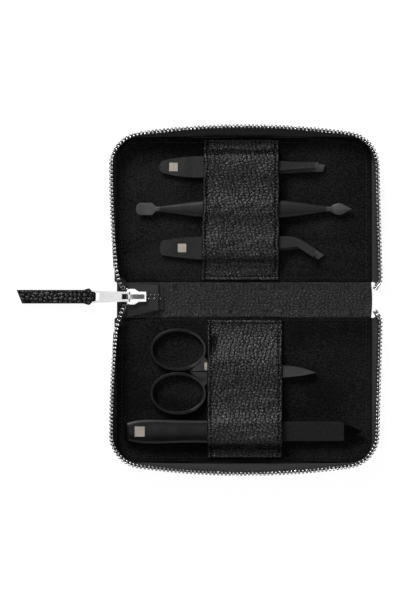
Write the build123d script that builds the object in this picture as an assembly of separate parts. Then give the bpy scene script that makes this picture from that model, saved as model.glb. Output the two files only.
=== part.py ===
from build123d import *
from math import cos, radians, sin, tan
import os

# A zip-round leather manicure case, lying open, with five tools held under two leather bands.
# Millimetres. +X runs along the spine to the right, +Y to the upper half, +Z up.
# The origin is the middle of the spine on the face that the case lies on.

os.makedirs("parts", exist_ok=True)

# ---------------------------------------------------------------- driving dimensions: the case
spine_width = 19.4            # from fold line to fold line, and the closed depth between linings
panel_length = 137.4          # suede lining, left edge to right edge
panel_depth = 78.0            # suede lining, fold line to front edge
panel_corner = 12.0           # radius of the lining's two front corners
cover_thickness = 1.4         # pebbled leather
board_thickness = 1.2         # stiffening board
lining_thickness = 1.0        # suede
cover_margin = 1.4            # leather past the lining, where the zipper tape is sewn on
board_inset = 5.0             # board short of the lining's edge, to leave the sewn tape its place
board_setback = 2.0           # board short of each fold line, so that the leather can fold
fold_gap = 0.2                # between a half and the spine
layer_gap = 0.2               # between the tape's foot and the board beside it
spine_bulge = 0.6             # how far the spine's right edge bows out

# ---------------------------------------------------------------- driving dimensions: the zipper
tape_thickness = 0.7
tape_ease = 0.1               # between the lining's edge and the tape's foot
row_side_flare = 2.8          # how far the rows of teeth stand out past the lining at the sides
row_near_flare = 4.4          # the same, at the right side near the fold
row_tip_inset = 2.3           # how far the free right end curls back in; it swings past the spine
row_left_flare = 0.4          # the same as the side flare, where the left side meets the spine
row_left_bulge = 0.6          # outward bow of the left side
row_corner_flare = 1.9        # past the lining at the front, beside the corners
row_corner = 17.0             # radius of the rows at the front corners
row_bow_angle = 7.8           # degrees; the front's tilt where it leaves the corner arcs
row_gap = 0.7                 # between the two rows of the closed case, which lean outwards
row_free_end = 6.5            # distance from the spine's middle to the free right end
row_curl = 7.0                # length of the stretch that curls in
row_left_end = 18.0           # distance from the spine's middle to the last upright tooth, left
free_end_rise = 4.1           # height over the lining from which the free end hangs clear
tooth_pitch = 2.07
tooth_width = 1.1             # along the row
tooth_depth = 2.3             # across the tape
tooth_head = 1.0              # past the tape's edge
tooth_grip = 1.4              # down both sides of the tape
tooth_ease = 0.2              # between a tooth's prongs and the tape
tooth_bevel = 0.3             # on the head's two long edges
turn_row_share = 0.93         # of the turning edge that carries teeth, short of the mouth
stop_width = 2.2              # metal stop at the free end of each row
stop_head = 0.4               # past the tape's edge; the ends pass each other as the case closes
end_tape_clear = 2.4          # flat tape past the slider's furthest place
end_tape_width = 18.0
end_tape_taper = 4.2          # narrower towards the sewn end, on each side
end_tape_sewn = 1.5           # the stretch that is sewn down
end_tape_drop = 1.0           # the stretch that slopes down to the sewn end
joined_teeth = 8
joined_width = 0.85           # along the row, where both rows interlock
joined_reach = 1.7            # from the middle line to a tooth's back
joined_nose = 0.6             # from the middle line to a tooth's nose, on the other side
turn_thickness = 0.4          # the tape where it twists into the slider

# ---------------------------------------------------------------- driving dimensions: the slider
slider_from_edge = 5.6        # the slider's mouth from the lining's left edge
slider_middle = 1.8           # y of the slider's middle line
slider_length = 10.3
slider_mouth_width = 8.4
slider_tail_width = 5.4
slider_plate = 1.0            # thickness of the two plates
slider_channel = 2.5          # between the plates
slider_lift = 0.4             # under plate over the lining
slider_lip = 0.55             # thickness of the lips that hold the teeth in
slider_slit = 1.1             # between the lips, for the tape
slider_travel = 4.0           # play along the joined teeth, at the open end
crown_width = 2.5
crown_height = 2.1            # over the top plate
crown_wall = 0.55             # metal round the puller's bar
hinge_bar = 0.6               # radius of the puller's bar in the crown
hinge_ease = 0.15             # round the bar
hinge_setback = 0.9           # bar's axis behind the mouth
puller_slope = 7.7            # degrees; the puller lies sloping down to the surface
puller_thickness = 1.5
puller_eye = 3.6              # from the bar's axis to the end of the eye
puller_neck_width = 5.4
puller_width = 6.9
puller_arm = 1.2              # metal each side of the eye
puller_slot = 3.9             # length of the slot that takes the leather tab
puller_slot_width = 3.9
puller_bar = 19.9             # from the crown's bar to the bar that the tab hangs on
tab_bar = 0.8                 # radius of that bar
tab_ease = 0.25               # round the bar
tab_leather = 0.9             # one layer of leather
tab_length = 61.2             # from the crown's bar to the tab's far end
tab_width = 7.4
tab_neck_width = 3.4
tab_slant = 3.0               # how far the far end is cut back
tab_padding = 0.6             # between the tab's two layers

# ---------------------------------------------------------------- driving dimensions: the bands
band_leather = 1.3
band_width = 40.6
upper_band_middle = -1.4      # x of the middle of the upper band
lower_band_middle = 0.4       # x of the middle of the lower band
band_inset = 1.0              # from the lining's fold edge to the band's end
upper_band_inset = 0.9        # from the lining's front edge to the upper band's end
lower_band_inset = 2.2
band_foot = 3.8               # sewn down at each end
band_ease = 0.35              # over the tools
band_dip = 0.5                # how far the leather sinks between the tools

# ---------------------------------------------------------------- driving dimensions: the tools
tool_ease = 0.15              # under each tool, over the suede
layer_slip = 0.05             # between pieces of steel that slide on each other

scissors_length = 89.7
scissors_from_edge = 17.8     # the rings' left end from the lining's left edge
scissors_from_fold = 28.9     # the parting line from the fold line
scissors_blade = 1.5          # thickness of one half
scissors_pivot_reach = 46.0   # from the rings' left end to the screw
ring_length = 30.6
ring_width = 23.1
ring_band = 1.8               # metal round the finger hole
ring_parting = 0.5            # between the two rings
ring_round = 0.5
ring_end_reach = 6.1          # from the upper ring's outer side to where its end can meet the band
band_past_scissors = 15.0     # from the parting line to where the band starts over to the file
shank_start = 9.0             # how far inside the ring's end the shank begins
shank_past_boss = 4.0         # its end, short of the pivot's boss
shank_width = 4.2             # from the parting line, where the shank meets the blade
shank_shoulder = 5.4          # the same, where the shank leaves the ring
shank_fillet = 8.0            # the same, where its curve starts on the ring
blade_width = 6.4
blade_straight = 20.0         # from the screw to where the blade's edges start to curve
blade_belly = 33.0            # from the screw to the middle of that curve
screw_radius = 1.4
screw_head_radius = 2.4
screw_head = 0.5
pivot_boss = 4.4

file_from_front = 16.8        # the file's middle line from the lining's front edge
file_from_edge = 4.3          # the handle's end from the lining's left edge
file_length = 128.1
file_handle_length = 62.0
file_handle_width = 14.0
file_handle_height = 5.6
file_end_width = 9.4
file_blade_width = 10.5
file_blade_thickness = 1.2
file_grit = 0.2               # abrasive layer on each side
file_grit_margin = 0.3
file_point = 9.5              # smooth pointed end
file_tang = 12.0              # blade inside the handle
file_inlay_reach = 8.1        # the plate's middle from the handle's end

tweezers_length = 89.7
tweezers_arm = 1.1            # thickness of one arm
tweezers_opening = 2.2        # degrees between the arms
tweezers_heel = 15.6          # from the closed end to where the arms part
tweezers_end_width = 6.6      # across the closed end
slant_end_round = 2.1         # how far that end bows out
angled_end_width = 7.6
angled_end_round = 0.9
tweezers_width = 11.6         # across the slant pair's handle, at its widest
tweezers_tip_width = 4.2
tweezers_travel = 12.0        # how far a pair slides out to the left under the band
slant_from_front = 15.9       # the slant pair's middle line from the lining's front edge
slant_from_edge = 22.9        # its closed end from the lining's left edge
slant_tip = 1.3               # how far the slanted tips are cut back
slant_inlay_reach = 7.7       # the plate's middle from the closed end
angled_from_fold = 18.4       # the angled pair's middle line from the fold line
angled_from_edge = 23.3
angled_width = 12.4           # across the angled pair's handle, at its widest
angled_inlay_reach = 11.9     # the plate's middle from the closed end
angled_bend = 33.0            # degrees; the angled tweezers' tips
angled_bend_reach = 12.5      # length of the bent tips

pusher_from_slant = 22.7      # from the slant tweezers' middle line to the pusher's
pusher_length = 116.6
pusher_body_width = 10.4
pusher_body_height = 5.0
pusher_neck = 2.5
pusher_shoulder = 26.0        # from each neck to where the body is nearly at its full width
spoon_width = 6.6
spoon_length = 9.6
spoon_end_round = 2.3         # how far its end bows out
spoon_straight = 8.6          # from its end to where it narrows to the neck
spear_width = 6.3
spear_length = 12.4
spear_shoulder = 8.8          # from the point back to the shoulders
spear_cheek = 4.9             # from the point back to where the edges run straight
pusher_end = 0.9              # thickness of the spoon and the spear

inlay_side = 4.6              # plain square plate let into each handle
inlay_thickness = 0.4
inlay_proud = 0.05
inlay_ease = 0.03
scissors_inlay_side = 4.0

# ---------------------------------------------------------------- worked out from them
fold = spine_width / 2
half_length = panel_length / 2
front = fold + panel_depth
board_bottom = cover_thickness
lining_bottom = board_bottom + board_thickness
lining_top = lining_bottom + lining_thickness
row_top = lining_top + fold - row_gap / 2
tape_top = row_top - tooth_head
tool_floor = lining_top + tool_ease
slider_mouth = slider_from_edge - half_length
scissors_left = scissors_from_edge - half_length
scissors_line = -(fold + scissors_from_fold)
file_left = file_from_edge - half_length
file_line = file_from_front - front
slant_left = slant_from_edge - half_length
slant_line = front - slant_from_front
angled_left = angled_from_edge - half_length
angled_line = fold + angled_from_fold
pusher_left = -pusher_length / 2
pusher_line = slant_line - pusher_from_slant


def save(name, shape):
    """Write one piece, or a group of like pieces, under its own name."""
    shape.label = name
    export_step(shape, f"parts/{name}.step")


def both_halves(name, shape):
    """The upper half's piece, and the lower half's, which is its mirror image."""
    save(f"upper_{name}", shape)
    save(f"lower_{name}", mirror(shape, about=Plane.XZ))


def block(x, y, z):
    """A box from three (low, high) pairs."""
    sizes = [high - low for low, high in (x, y, z)]
    middle = [(high + low) / 2 for low, high in (x, y, z)]
    return Pos(*middle) * Box(*sizes)


def outline_solid(points, bottom, top):
    """A straight-sided outline in plan, raised from bottom to top."""
    face = make_face(Polyline(*points, close=True))
    return Pos(0, 0, bottom) * extrude(face, top - bottom)


# ================================================================ panels
def panel(grow, near, corner, bottom, top):
    """One layer of a half: square at the fold, rounded at the two front corners."""
    depth = front + grow - near
    face = Pos(0, near + depth / 2) * Rectangle(2 * (half_length + grow), depth)
    face = fillet(face.vertices().group_by(Axis.Y)[-1], corner)
    return Pos(0, 0, bottom) * extrude(face, top - bottom)


def make_panels():
    near = fold + fold_gap / 2
    cover = panel(cover_margin, near, panel_corner + cover_margin, 0, cover_thickness)
    board_corner = panel_corner - board_inset
    board = panel(-board_inset, fold + board_setback, board_corner, board_bottom, lining_bottom)
    lining = panel(0, near, panel_corner, lining_bottom, lining_top)
    both_halves("cover", cover)
    both_halves("board", board)
    both_halves("lining", lining)


def spine_layer(shrink, setback, bottom, top):
    """One layer of the spine, whose right edge bows out a little."""
    left = -half_length + shrink
    right = half_length - shrink
    side = fold - setback
    edges = [
        Line((right, -side), (left, -side)),
        Line((left, -side), (left, side)),
        Line((left, side), (right, side)),
        ThreePointArc((right, side), (right + spine_bulge, 0), (right, -side)),
    ]
    return Pos(0, 0, bottom) * extrude(make_face(edges), top - bottom)


def make_spine():
    save("spine_cover", spine_layer(0, fold_gap / 2, 0, cover_thickness))
    save("spine_board", spine_layer(board_inset, board_setback, board_bottom, lining_bottom))
    save("spine_lining", spine_layer(0, fold_gap / 2, lining_bottom, lining_top))


# ================================================================ zipper tape and teeth
def curve(start, through, end, z):
    """An arc through three plan points, or a line if they don't turn."""
    a, b, c = (Vector(p[0], p[1], z) for p in (start, through, end))
    turn = abs((b - a).cross(c - b).Z)
    return Line(a, c) if turn < 1e-6 else ThreePointArc(a, b, c)


def rim(side, near, tip, left, bulge, corner_front, corner, bow_angle, z, grow):
    """Edges of one rim, from the free right end round the front to the left end.

    side, near, tip and left are distances from the middle line: at the corners, at the right
    near the fold, at the free end and at the left end."""
    middle_y = corner_front - corner
    radius = corner + grow
    centre_x = side - corner
    lean = radians(bow_angle)
    corner_end = (centre_x + radius * sin(lean), middle_y + radius * cos(lean))
    crest = corner_end[1] + corner_end[0] * tan(lean / 2)
    half_lean = lean + (radians(90) - lean) / 2
    corner_mid = (centre_x + radius * sin(half_lean), middle_y + radius * cos(half_lean))
    curl_end = row_free_end + row_curl
    curl_mid = (tip + 0.78 * (near - tip) + grow, row_free_end + 0.4 * row_curl)
    left_mid = (-(side + left) / 2 - bulge - grow, (middle_y + row_left_end) / 2)

    def flip(point):
        return (-point[0], point[1])

    free_end = (tip + grow, row_free_end)
    right_low = (near + grow, curl_end)
    right_high = (side + grow, middle_y)
    right_mid = ((near + side) / 2 + grow, (curl_end + middle_y) / 2)
    left_end = (-left - grow, row_left_end)
    return [
        curve(free_end, curl_mid, right_low, z),
        curve(right_low, right_mid, right_high, z),
        curve(right_high, corner_mid, corner_end, z),
        curve(corner_end, (0, crest), flip(corner_end), z),
        curve(flip(corner_end), flip(corner_mid), flip(right_high), z),
        curve(flip(right_high), left_mid, left_end, z),
    ]


def foot_rim(z, grow):
    """Where the tape leaves the panel: along the lining's edge."""
    edge = half_length + tape_ease + tape_thickness / 2
    edge_front = front + tape_ease + tape_thickness / 2
    return rim(edge, edge, edge, edge, 0, edge_front, panel_corner, 0, z, grow)


def top_rim(z, grow):
    """The tape's upper edge, which carries the teeth."""
    side = half_length + row_side_flare
    near = half_length + row_near_flare
    tip = near - row_tip_inset
    left = half_length + row_left_flare
    corner_front = front + row_corner_flare
    return rim(side, near, tip, left, row_left_bulge, corner_front, row_corner, row_bow_angle, z, grow)


def rim_loft(grow, beyond):
    """The block inside one surface of the tape wall, drawn on past its ends by beyond."""
    faces = []
    for maker, z in ((foot_rim, board_bottom), (top_rim, tape_top)):
        edges = maker(z, grow)
        start = edges[0] @ 0
        end = edges[-1] @ 1
        low_start = Vector(start.X, start.Y - beyond, z)
        low_end = Vector(end.X, end.Y - beyond, z)
        closing = [Line(end, low_end), Line(low_end, low_start), Line(low_start, start)]
        faces.append(make_face(edges + closing))
    return loft(faces, ruled=True)


def make_tape():
    """The upright wall of tape, its sewn foot under the lining and its free right end."""
    outer = rim_loft(tape_thickness / 2, 0.01)
    inner = rim_loft(-tape_thickness / 2, 3 * fold)
    wall = outer - inner
    reach = half_length + 2 * row_near_flare
    under_free_end = block((0, reach), (0, fold + fold_gap), (0, lining_top + free_end_rise))
    wall -= under_free_end
    foot_grow = tape_ease + tape_thickness / 2
    near = fold + fold_gap / 2
    foot = panel(foot_grow, near, panel_corner + foot_grow, board_bottom, lining_bottom)
    hollow = layer_gap - board_inset
    foot -= panel(hollow, 0, panel_corner + hollow, board_bottom, lining_bottom)
    both_halves("zipper_tape", wall + foot)


def tooth(width, head):
    """One U-shaped tooth: x along the row, z past the tape's edge, its slot round the tape."""
    body = block((-width / 2, width / 2), (-tooth_depth / 2, tooth_depth / 2), (-tooth_grip, head))
    body = chamfer(body.edges().filter_by(Axis.X).group_by(Axis.Z)[-1], tooth_bevel)
    slot_half = tape_thickness / 2 + tooth_ease
    slot = block((-width, width), (-slot_half, slot_half), (-2 * tooth_grip, tooth_ease))
    return body - slot


def stand(edge, foot_point, point):
    """The frame of a tooth: on the tape's edge, square to the row and in line with the tape."""
    up = (point - foot_point).normalized()
    return Location(Plane(origin=point, x_dir=edge, z_dir=up))


def make_teeth():
    """A row of teeth along one half, evenly spaced over lines and arcs alike."""
    tops = top_rim(tape_top, 0)
    feet = foot_rim(board_bottom, 0)
    total = sum(edge.length for edge in tops)
    stop_room = stop_width + tooth_pitch / 2
    count = int((total - stop_room) / tooth_pitch)
    model = tooth(tooth_width, tooth_head)
    teeth = []
    for number in range(count):
        left_over = stop_room + (number + 0.5) * tooth_pitch
        teeth.append(place_on_row(model, tops, feet, left_over))
    stop = place_on_row(tooth(stop_width, stop_head), tops, feet, stop_width / 2 + 0.1)
    print("teeth in each row:", count)
    both_halves("zipper_teeth", Compound(teeth))
    both_halves("end_stop", stop)


def place_on_row(model, tops, feet, distance):
    """A copy of model at a distance along the row."""
    for top_edge, foot_edge in zip(tops, feet):
        if distance <= top_edge.length:
            share = distance / top_edge.length
            along = top_edge % share
            across = (top_edge @ share) - (foot_edge @ share)
            square = along - across * (along.dot(across) / across.dot(across))
            return stand(square, foot_edge @ share, top_edge @ share) * model
        distance -= top_edge.length
    raise ValueError("distance past the row's end")


# ================================================================ tape and teeth at the slider
tape_level = lining_top + slider_lift + slider_plate + slider_channel / 2


def turn_stations(sign):
    """Stations of the tape between the last upright tooth and the slider's mouth.

    Each is (point on the toothed edge, direction down the tape, width)."""
    left = -(half_length + row_left_flare)
    mouth_y = slider_middle + sign * (slider_mouth_width / 2 - 0.9)
    height = tape_top - lining_top - 0.3
    rows = [
        ((left, sign * (row_left_end - 0.3), tape_top), (0, 0, -1), height),
        ((left + 0.9, sign * 13.2, tape_top - 0.5), (-0.06, sign * 0.12, -1), height - 0.9),
        ((left + 2.1, sign * 9.8, tape_top - 1.9), (-0.08, sign * 0.5, -0.86), height - 2.2),
        ((left + 3.7, (mouth_y + sign * 7.0) / 2 + sign * 0.8, tape_level + 1.7),
         (0, sign * 0.9, -0.4), 5.0),
        ((slider_mouth - 0.35, mouth_y, tape_level), (0, sign, 0), 4.6),
    ]
    return [(Vector(*point), Vector(*down).normalized(), width) for point, down, width in rows]


def turn_section(point, down, along, width):
    """A thin upright rectangle of tape, square to the way that the edge runs."""
    square = (along - down * along.dot(down)).normalized()
    plane = Plane(origin=point + down * (width / 2), x_dir=down, z_dir=square)
    return plane * Rectangle(width, turn_thickness)


def make_turn(name, sign):
    """The twisting stretch of tape at the slider's mouth, and the teeth on its edge."""
    stations = turn_stations(sign)
    edge = Spline([point for point, down, width in stations])
    shares = [0, 0.27, 0.5, 0.76, 1]
    faces = []
    for (point, down, width), share in zip(stations, shares):
        faces.append(turn_section(point, down, edge % share, width))
    save(f"{name}_tape_turn", loft(faces, ruled=True))
    count = int(edge.length / tooth_pitch)
    model = tooth(tooth_width, tooth_head)
    teeth = []
    for number in range(count):
        share = (number + 0.4) / count * turn_row_share
        spot = share * (len(stations) - 1)
        first = min(int(spot), len(stations) - 2)
        part = spot - first
        down = stations[first][1] * (1 - part) + stations[first + 1][1] * part
        place = edge @ share
        along = edge % share
        down = down - along * along.dot(down)
        teeth.append(stand(along, place + down, place) * model)
    save(f"{name}_turn_teeth", Compound(teeth))


def make_end_tape():
    """The flat end of the tape: at the slider's level, then down to where it is sewn on."""
    left = slider_mouth
    slope = left + slider_length + slider_travel + end_tape_clear
    sewn = slope + end_tape_drop
    right = sewn + end_tape_sewn
    low = lining_top + 0.02
    level = tape_level - tape_thickness / 2
    profile = [
        (left, level), (slope, level), (sewn, low), (right, low),
        (right, low + tape_thickness), (sewn, low + tape_thickness),
        (slope, level + tape_thickness), (left, level + tape_thickness),
    ]
    face = make_face(Polyline(*[(x, 0, z) for x, z in profile], close=True))
    sheet = extrude(face, end_tape_width, dir=(0, 1, 0), both=True)
    half = end_tape_width / 2
    plan = [(left, -half), (right, end_tape_taper - half), (right, half - end_tape_taper), (left, half)]
    sheet &= outline_solid(plan, 0, 2 * tape_level)
    teeth_left = slider_mouth + slider_length - joined_reach
    gap_half = joined_nose + tooth_ease
    way = slider_tail_width / 2 + tape_ease
    height = (lining_top, 2 * tape_level)
    channel = block((left - 1, teeth_left), (slider_middle - way, slider_middle + way), height)
    ends = joined_teeth * tooth_pitch / 2 + teeth_left
    slit = block((left, ends), (slider_middle - gap_half, slider_middle + gap_half), height)
    save("zipper_end_tape", sheet - channel - slit)


def make_joined_teeth():
    """The teeth that stay joined behind the slider, from one tape and the other by turns."""
    body = block((-joined_width / 2, joined_width / 2), (-joined_nose, joined_reach), (-0.95, 0.95))
    slot_half = tape_thickness / 2 + tooth_ease
    slot_start = joined_reach - tooth_grip
    model = body - block((-1, 1), (slot_start, 2 * joined_reach), (-slot_half, slot_half))
    first = slider_mouth + slider_length - joined_reach + tooth_pitch / 4
    teeth = []
    for number in range(joined_teeth):
        turned = Rot(0, 0, 180 * (number % 2))
        teeth.append(Pos(first + number * tooth_pitch / 2, slider_middle, tape_level) * turned * model)
    save("joined_teeth", Compound(teeth))


# ================================================================ slider, puller and pull tab
hinge_x = slider_mouth + hinge_setback
plate_top = lining_top + slider_lift + 2 * slider_plate + slider_channel
hinge_z = plate_top + hinge_bar + 0.5


def slider_outline(shrink):
    """Half-widths of a plate along the slider: a flared mouth that narrows to the tail."""
    wide = slider_mouth_width / 2 - shrink
    tail = slider_tail_width / 2 - shrink
    steps = [(0, wide - 0.6), (1.5, wide), (4.0, wide), (6.4, tail), (slider_length, tail)]
    upper = [(slider_mouth + along, slider_middle + half) for along, half in steps]
    lower = [(slider_mouth + along, slider_middle - half) for along, half in reversed(steps)]
    return upper + lower


def make_slider():
    """Two plates on a wedge, lips that hold the teeth, and a crown over the puller's bar."""
    low = lining_top + slider_lift
    inside_low = low + slider_plate
    inside_top = inside_low + slider_channel
    body = outline_solid(slider_outline(0), low, plate_top)
    body -= outline_solid(slider_outline(slider_lip), inside_low, inside_top)
    slit_low = tape_level - slider_slit / 2
    ends = (slider_mouth - 1, slider_mouth + slider_length + 1)
    side = slider_middle - slider_mouth_width, slider_middle + slider_mouth_width
    body -= block(ends, side, (slit_low, slit_low + slider_slit))
    tail_half = slider_tail_width / 2 - slider_lip
    body -= block((slider_mouth + slider_length / 2, ends[1]),
                  (slider_middle - tail_half, slider_middle + tail_half), (inside_low, inside_top))
    mouth_half = slider_mouth_width / 2 - slider_lip
    body -= block((ends[0], slider_mouth + 2.0),
                  (slider_middle - mouth_half, slider_middle + mouth_half), (inside_low, inside_top))
    wedge = [(slider_mouth + 0.3, slider_middle), (slider_mouth + 1.3, slider_middle + 1.2),
             (slider_mouth + 3.6, slider_middle), (slider_mouth + 1.3, slider_middle - 1.2)]
    body += outline_solid(wedge, inside_low, inside_top)
    save("slider_body", body + slider_crown())


def slider_crown():
    """A hump along the top plate, with a cross hole for the puller's bar at its front."""
    front_x = hinge_x - hinge_bar - hinge_ease - crown_wall
    back = slider_mouth + slider_length - 0.4
    base = plate_top - 0.1
    peak = plate_top + crown_height
    knee = hinge_x + hinge_bar + hinge_ease + crown_wall
    edges = [
        Line((front_x, 0, base), (front_x, 0, hinge_z)),
        ThreePointArc((front_x, 0, hinge_z), (front_x + 0.45, 0, peak - 0.35), (hinge_x, 0, peak)),
        Line((hinge_x, 0, peak), (knee, 0, peak - 0.1)),
        ThreePointArc((knee, 0, peak - 0.1), ((knee + back) / 2 + 0.8, 0, plate_top + 0.95),
                      (back, 0, base)),
        Line((back, 0, base), (front_x, 0, base)),
    ]
    hump = extrude(make_face(edges), crown_width / 2, dir=(0, 1, 0), both=True)
    hole = Pos(hinge_x, 0, hinge_z) * Rot(90, 0, 0) * Cylinder(hinge_bar + hinge_ease, 2 * crown_width)
    way_in = block((front_x - 1, hinge_x), (-crown_width, crown_width),
                   (plate_top, hinge_z - hinge_bar + 0.2))
    way_in &= block((front_x - 1, front_x + 0.1), (-crown_width, crown_width), (plate_top, hinge_z))
    return Pos(0, slider_middle, 0) * (hump - hole - way_in)


def lay_along_puller(shape):
    """From the puller's own frame, x away from the crown, to its place on the slider."""
    return Pos(hinge_x, slider_middle, hinge_z) * Rot(0, -puller_slope, 0) * Rot(0, 0, 180) * shape


def make_puller():
    """A flat metal plate: a bar through the crown, an eye, and a slot that the tab hangs in."""
    half = puller_thickness / 2
    neck = puller_neck_width / 2
    wide = puller_width / 2
    plan = [(0, -neck), (puller_eye, -neck), (puller_bar, -wide),
            (puller_bar, wide), (puller_eye, neck), (0, neck)]
    plate = outline_solid(plan, -half, half)
    eye_half = neck - puller_arm
    plate -= block((-2, puller_eye), (-eye_half, eye_half), (-2, 2))
    slot_end = puller_bar + 2
    slot_half = puller_slot_width / 2
    slot_start = slot_end - 2 - tab_bar - tab_ease - puller_slot + 0.9
    plate -= block((slot_start, slot_end), (-slot_half, slot_half), (-2, 2))
    rod = Rot(90, 0, 0) * Cylinder(hinge_bar, puller_neck_width)
    knuckle = Rot(90, 0, 0) * Cylinder(half, puller_neck_width)
    knuckle -= block((-2, 2), (-eye_half, eye_half), (-2, 2))
    end_bar = Pos(puller_bar, 0, 0) * Rot(90, 0, 0) * Cylinder(tab_bar, puller_width)
    save("puller", lay_along_puller(plate + knuckle + rod + end_bar))


def make_pull_tab():
    """A strip of leather, folded double round the puller's bar and sewn flat."""
    inner = tab_bar + tab_ease
    outer = inner + tab_leather
    flat = tab_leather + tab_padding / 2
    meet = puller_bar + 2 * outer
    side = [(puller_bar, -outer), (meet, -flat), (tab_length, -flat),
            (tab_length, flat), (meet, flat), (puller_bar, outer)]
    face = make_face(Polyline(*[(x, 0, z) for x, z in side], close=True))
    strip = extrude(face, tab_width, dir=(0, 1, 0), both=True)
    strip += Pos(puller_bar, 0, 0) * Rot(90, 0, 0) * Cylinder(outer, 2 * tab_width)
    strip -= Pos(puller_bar, 0, 0) * Rot(90, 0, 0) * Cylinder(inner, 3 * tab_width)
    half = tab_width / 2
    neck = tab_neck_width / 2
    shoulder = puller_bar + 0.4
    plan = [(puller_bar - outer, -neck), (shoulder, -neck), (meet - 1.6, -half), (tab_length, -half),
            (tab_length - tab_slant, half), (meet - 1.6, half), (shoulder, neck), (puller_bar - outer, neck)]
    save("pull_tab", lay_along_puller(strip & outline_solid(plan, -outer, outer)))


# ================================================================ bands
def make_band(name, middle, sign, front_inset, humps):
    """A strip of leather over the tools, sewn down at both ends.

    humps are (start, end, height): distances from the spine's middle, and what the tool needs."""
    near = fold + fold_gap / 2 + band_inset
    far = front - front_inset
    under = [(near, lining_top), (near + band_foot, lining_top)]
    last = None
    for start, end, height in humps:
        level = lining_top + height + band_ease
        if last is not None:
            under.append(((last[0] + start) / 2, (last[1] + level) / 2 - band_dip))
        under += [(start, level), (end, level)]
        last = (end, level)
    under += [(far - band_foot, lining_top), (far, lining_top)]
    edge = bent_strip(under)
    strip = extrude(edge, band_width / 2, dir=(1, 0, 0), both=True)
    strip = Pos(middle, 0, 0) * strip
    save(name, strip if sign > 0 else mirror(strip, about=Plane.XZ))


def bent_strip(under):
    """A strip's section: straight runs along its underside, of even thickness."""
    path = [Vector(0, y, z) for y, z in under]
    upper = []
    for number, point in enumerate(path):
        before = path[max(number - 1, 0)]
        after = path[min(number + 1, len(path) - 1)]
        into = (point - before) if number else (after - point)
        out = (after - point) if number < len(path) - 1 else into
        into = into.normalized()
        out = out.normalized()
        square = Vector(0, -(into.Z + out.Z), into.Y + out.Y).normalized()
        spread = abs(square.dot(Vector(0, -into.Z, into.Y)))
        upper.append(point + square * (band_leather / spread))
    return make_face(Polyline(*path, *reversed(upper), close=True))


# ================================================================ scissors
pivot_x = scissors_left + scissors_pivot_reach


def finger_ring(sign, bottom, top):
    """An oval finger ring beside the parting line, with its rim rounded."""
    middle = (scissors_left + ring_length / 2, scissors_line + sign * (ring_parting + ring_width) / 2)
    outer = Pos(*middle) * Ellipse(ring_length / 2, ring_width / 2)
    inner = Pos(*middle) * Ellipse(ring_length / 2 - ring_band, ring_width / 2 - ring_band)
    body = Pos(0, 0, bottom) * extrude(outer - inner, top - bottom)
    rims = body.edges().group_by(Axis.Z)
    body = fillet(rims[0] + rims[-1], ring_round)
    hole = Pos(0, 0, bottom) * extrude(inner, top - bottom)
    return body, hole


def scissors_half(sign):
    """One half: the ring on its own side, the blade on the other, half as thick past the shank."""
    base = tool_floor
    middle = base + scissors_blade
    full = base + 2 * scissors_blade + layer_slip
    ring, hole = finger_ring(sign, base, full)
    line = scissors_line
    ring_end = scissors_left + ring_length
    seam = sign * ring_parting / 2
    shank_end = pivot_x - pivot_boss - shank_past_boss
    shank = outline_solid([
        (ring_end - shank_start, line + seam), (shank_end, line + seam),
        (shank_end, line + sign * shank_width), (ring_end + 1.0, line + sign * shank_shoulder),
        (ring_end - 1.2, line + sign * shank_fillet), (ring_end - 4.0, line + sign * 4.0),
    ], base, full)
    layer = (middle + layer_slip, full) if sign > 0 else (base, middle)
    tip = scissors_left + scissors_length
    root = shank_end - layer_gap
    plan = [
        Line((root, line + seam), (root, line + sign * shank_width)),
        Line((root, line + sign * shank_width), (pivot_x, line + sign * pivot_boss)),
        Line((pivot_x, line + sign * pivot_boss), (pivot_x + blade_straight, line + sign * blade_width / 2)),
        ThreePointArc((pivot_x + blade_straight, line + sign * blade_width / 2),
                      (pivot_x + blade_belly, line + sign * blade_width * 0.36), (tip, line - 0.6)),
        ThreePointArc((tip, line - 0.6), (pivot_x + blade_belly, line - sign * blade_width * 0.4),
                      (pivot_x + blade_straight, line - sign * blade_width / 2)),
        Line((pivot_x + blade_straight, line - sign * blade_width / 2), (pivot_x, line - sign * pivot_boss)),
        Line((pivot_x, line - sign * pivot_boss), (pivot_x - pivot_boss, line + seam)),
        Line((pivot_x - pivot_boss, line + seam), (root, line + seam)),
    ]
    blade = Pos(0, 0, layer[0]) * extrude(make_face(plan), layer[1] - layer[0])
    half = ring + (shank - hole) + blade
    screw_hole = Pos(pivot_x, line, base) * Cylinder(screw_radius + layer_slip, 6 * scissors_blade)
    return half - screw_hole


def make_scissors():
    upper = scissors_half(1)
    side = scissors_inlay_side
    top = tool_floor + 2 * scissors_blade + layer_slip
    place = Pos(scissors_left + ring_length + 0.9, scissors_line + ring_parting / 2 + 0.6 + side / 2, 0)
    upper, plate = let_in_plate(upper, place, side, top)
    save("scissors_upper_half", upper)
    save("scissors_inlay", plate)
    save("scissors_lower_half", scissors_half(-1))
    shaft = Pos(pivot_x, scissors_line, 0) * Cylinder(screw_radius, top - tool_floor, align=BOTTOM)
    head = Pos(0, 0, top - tool_floor + layer_slip) * Cylinder(screw_head_radius, screw_head, align=BOTTOM)
    head = chamfer(head.edges().group_by(Axis.Z)[-1], 0.15)
    neck = Cylinder(screw_radius, top - tool_floor + 2 * layer_slip, align=BOTTOM)
    driver_slot = block((-screw_head_radius, screw_head_radius), (-0.3, 0.3), (0, screw_head))
    head -= Pos(0, 0, top - tool_floor + layer_slip + screw_head * 0.4) * driver_slot
    save("scissors_screw", Pos(pivot_x, scissors_line, tool_floor) * (neck + head))


BOTTOM = (Align.CENTER, Align.CENTER, Align.MIN)


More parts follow.
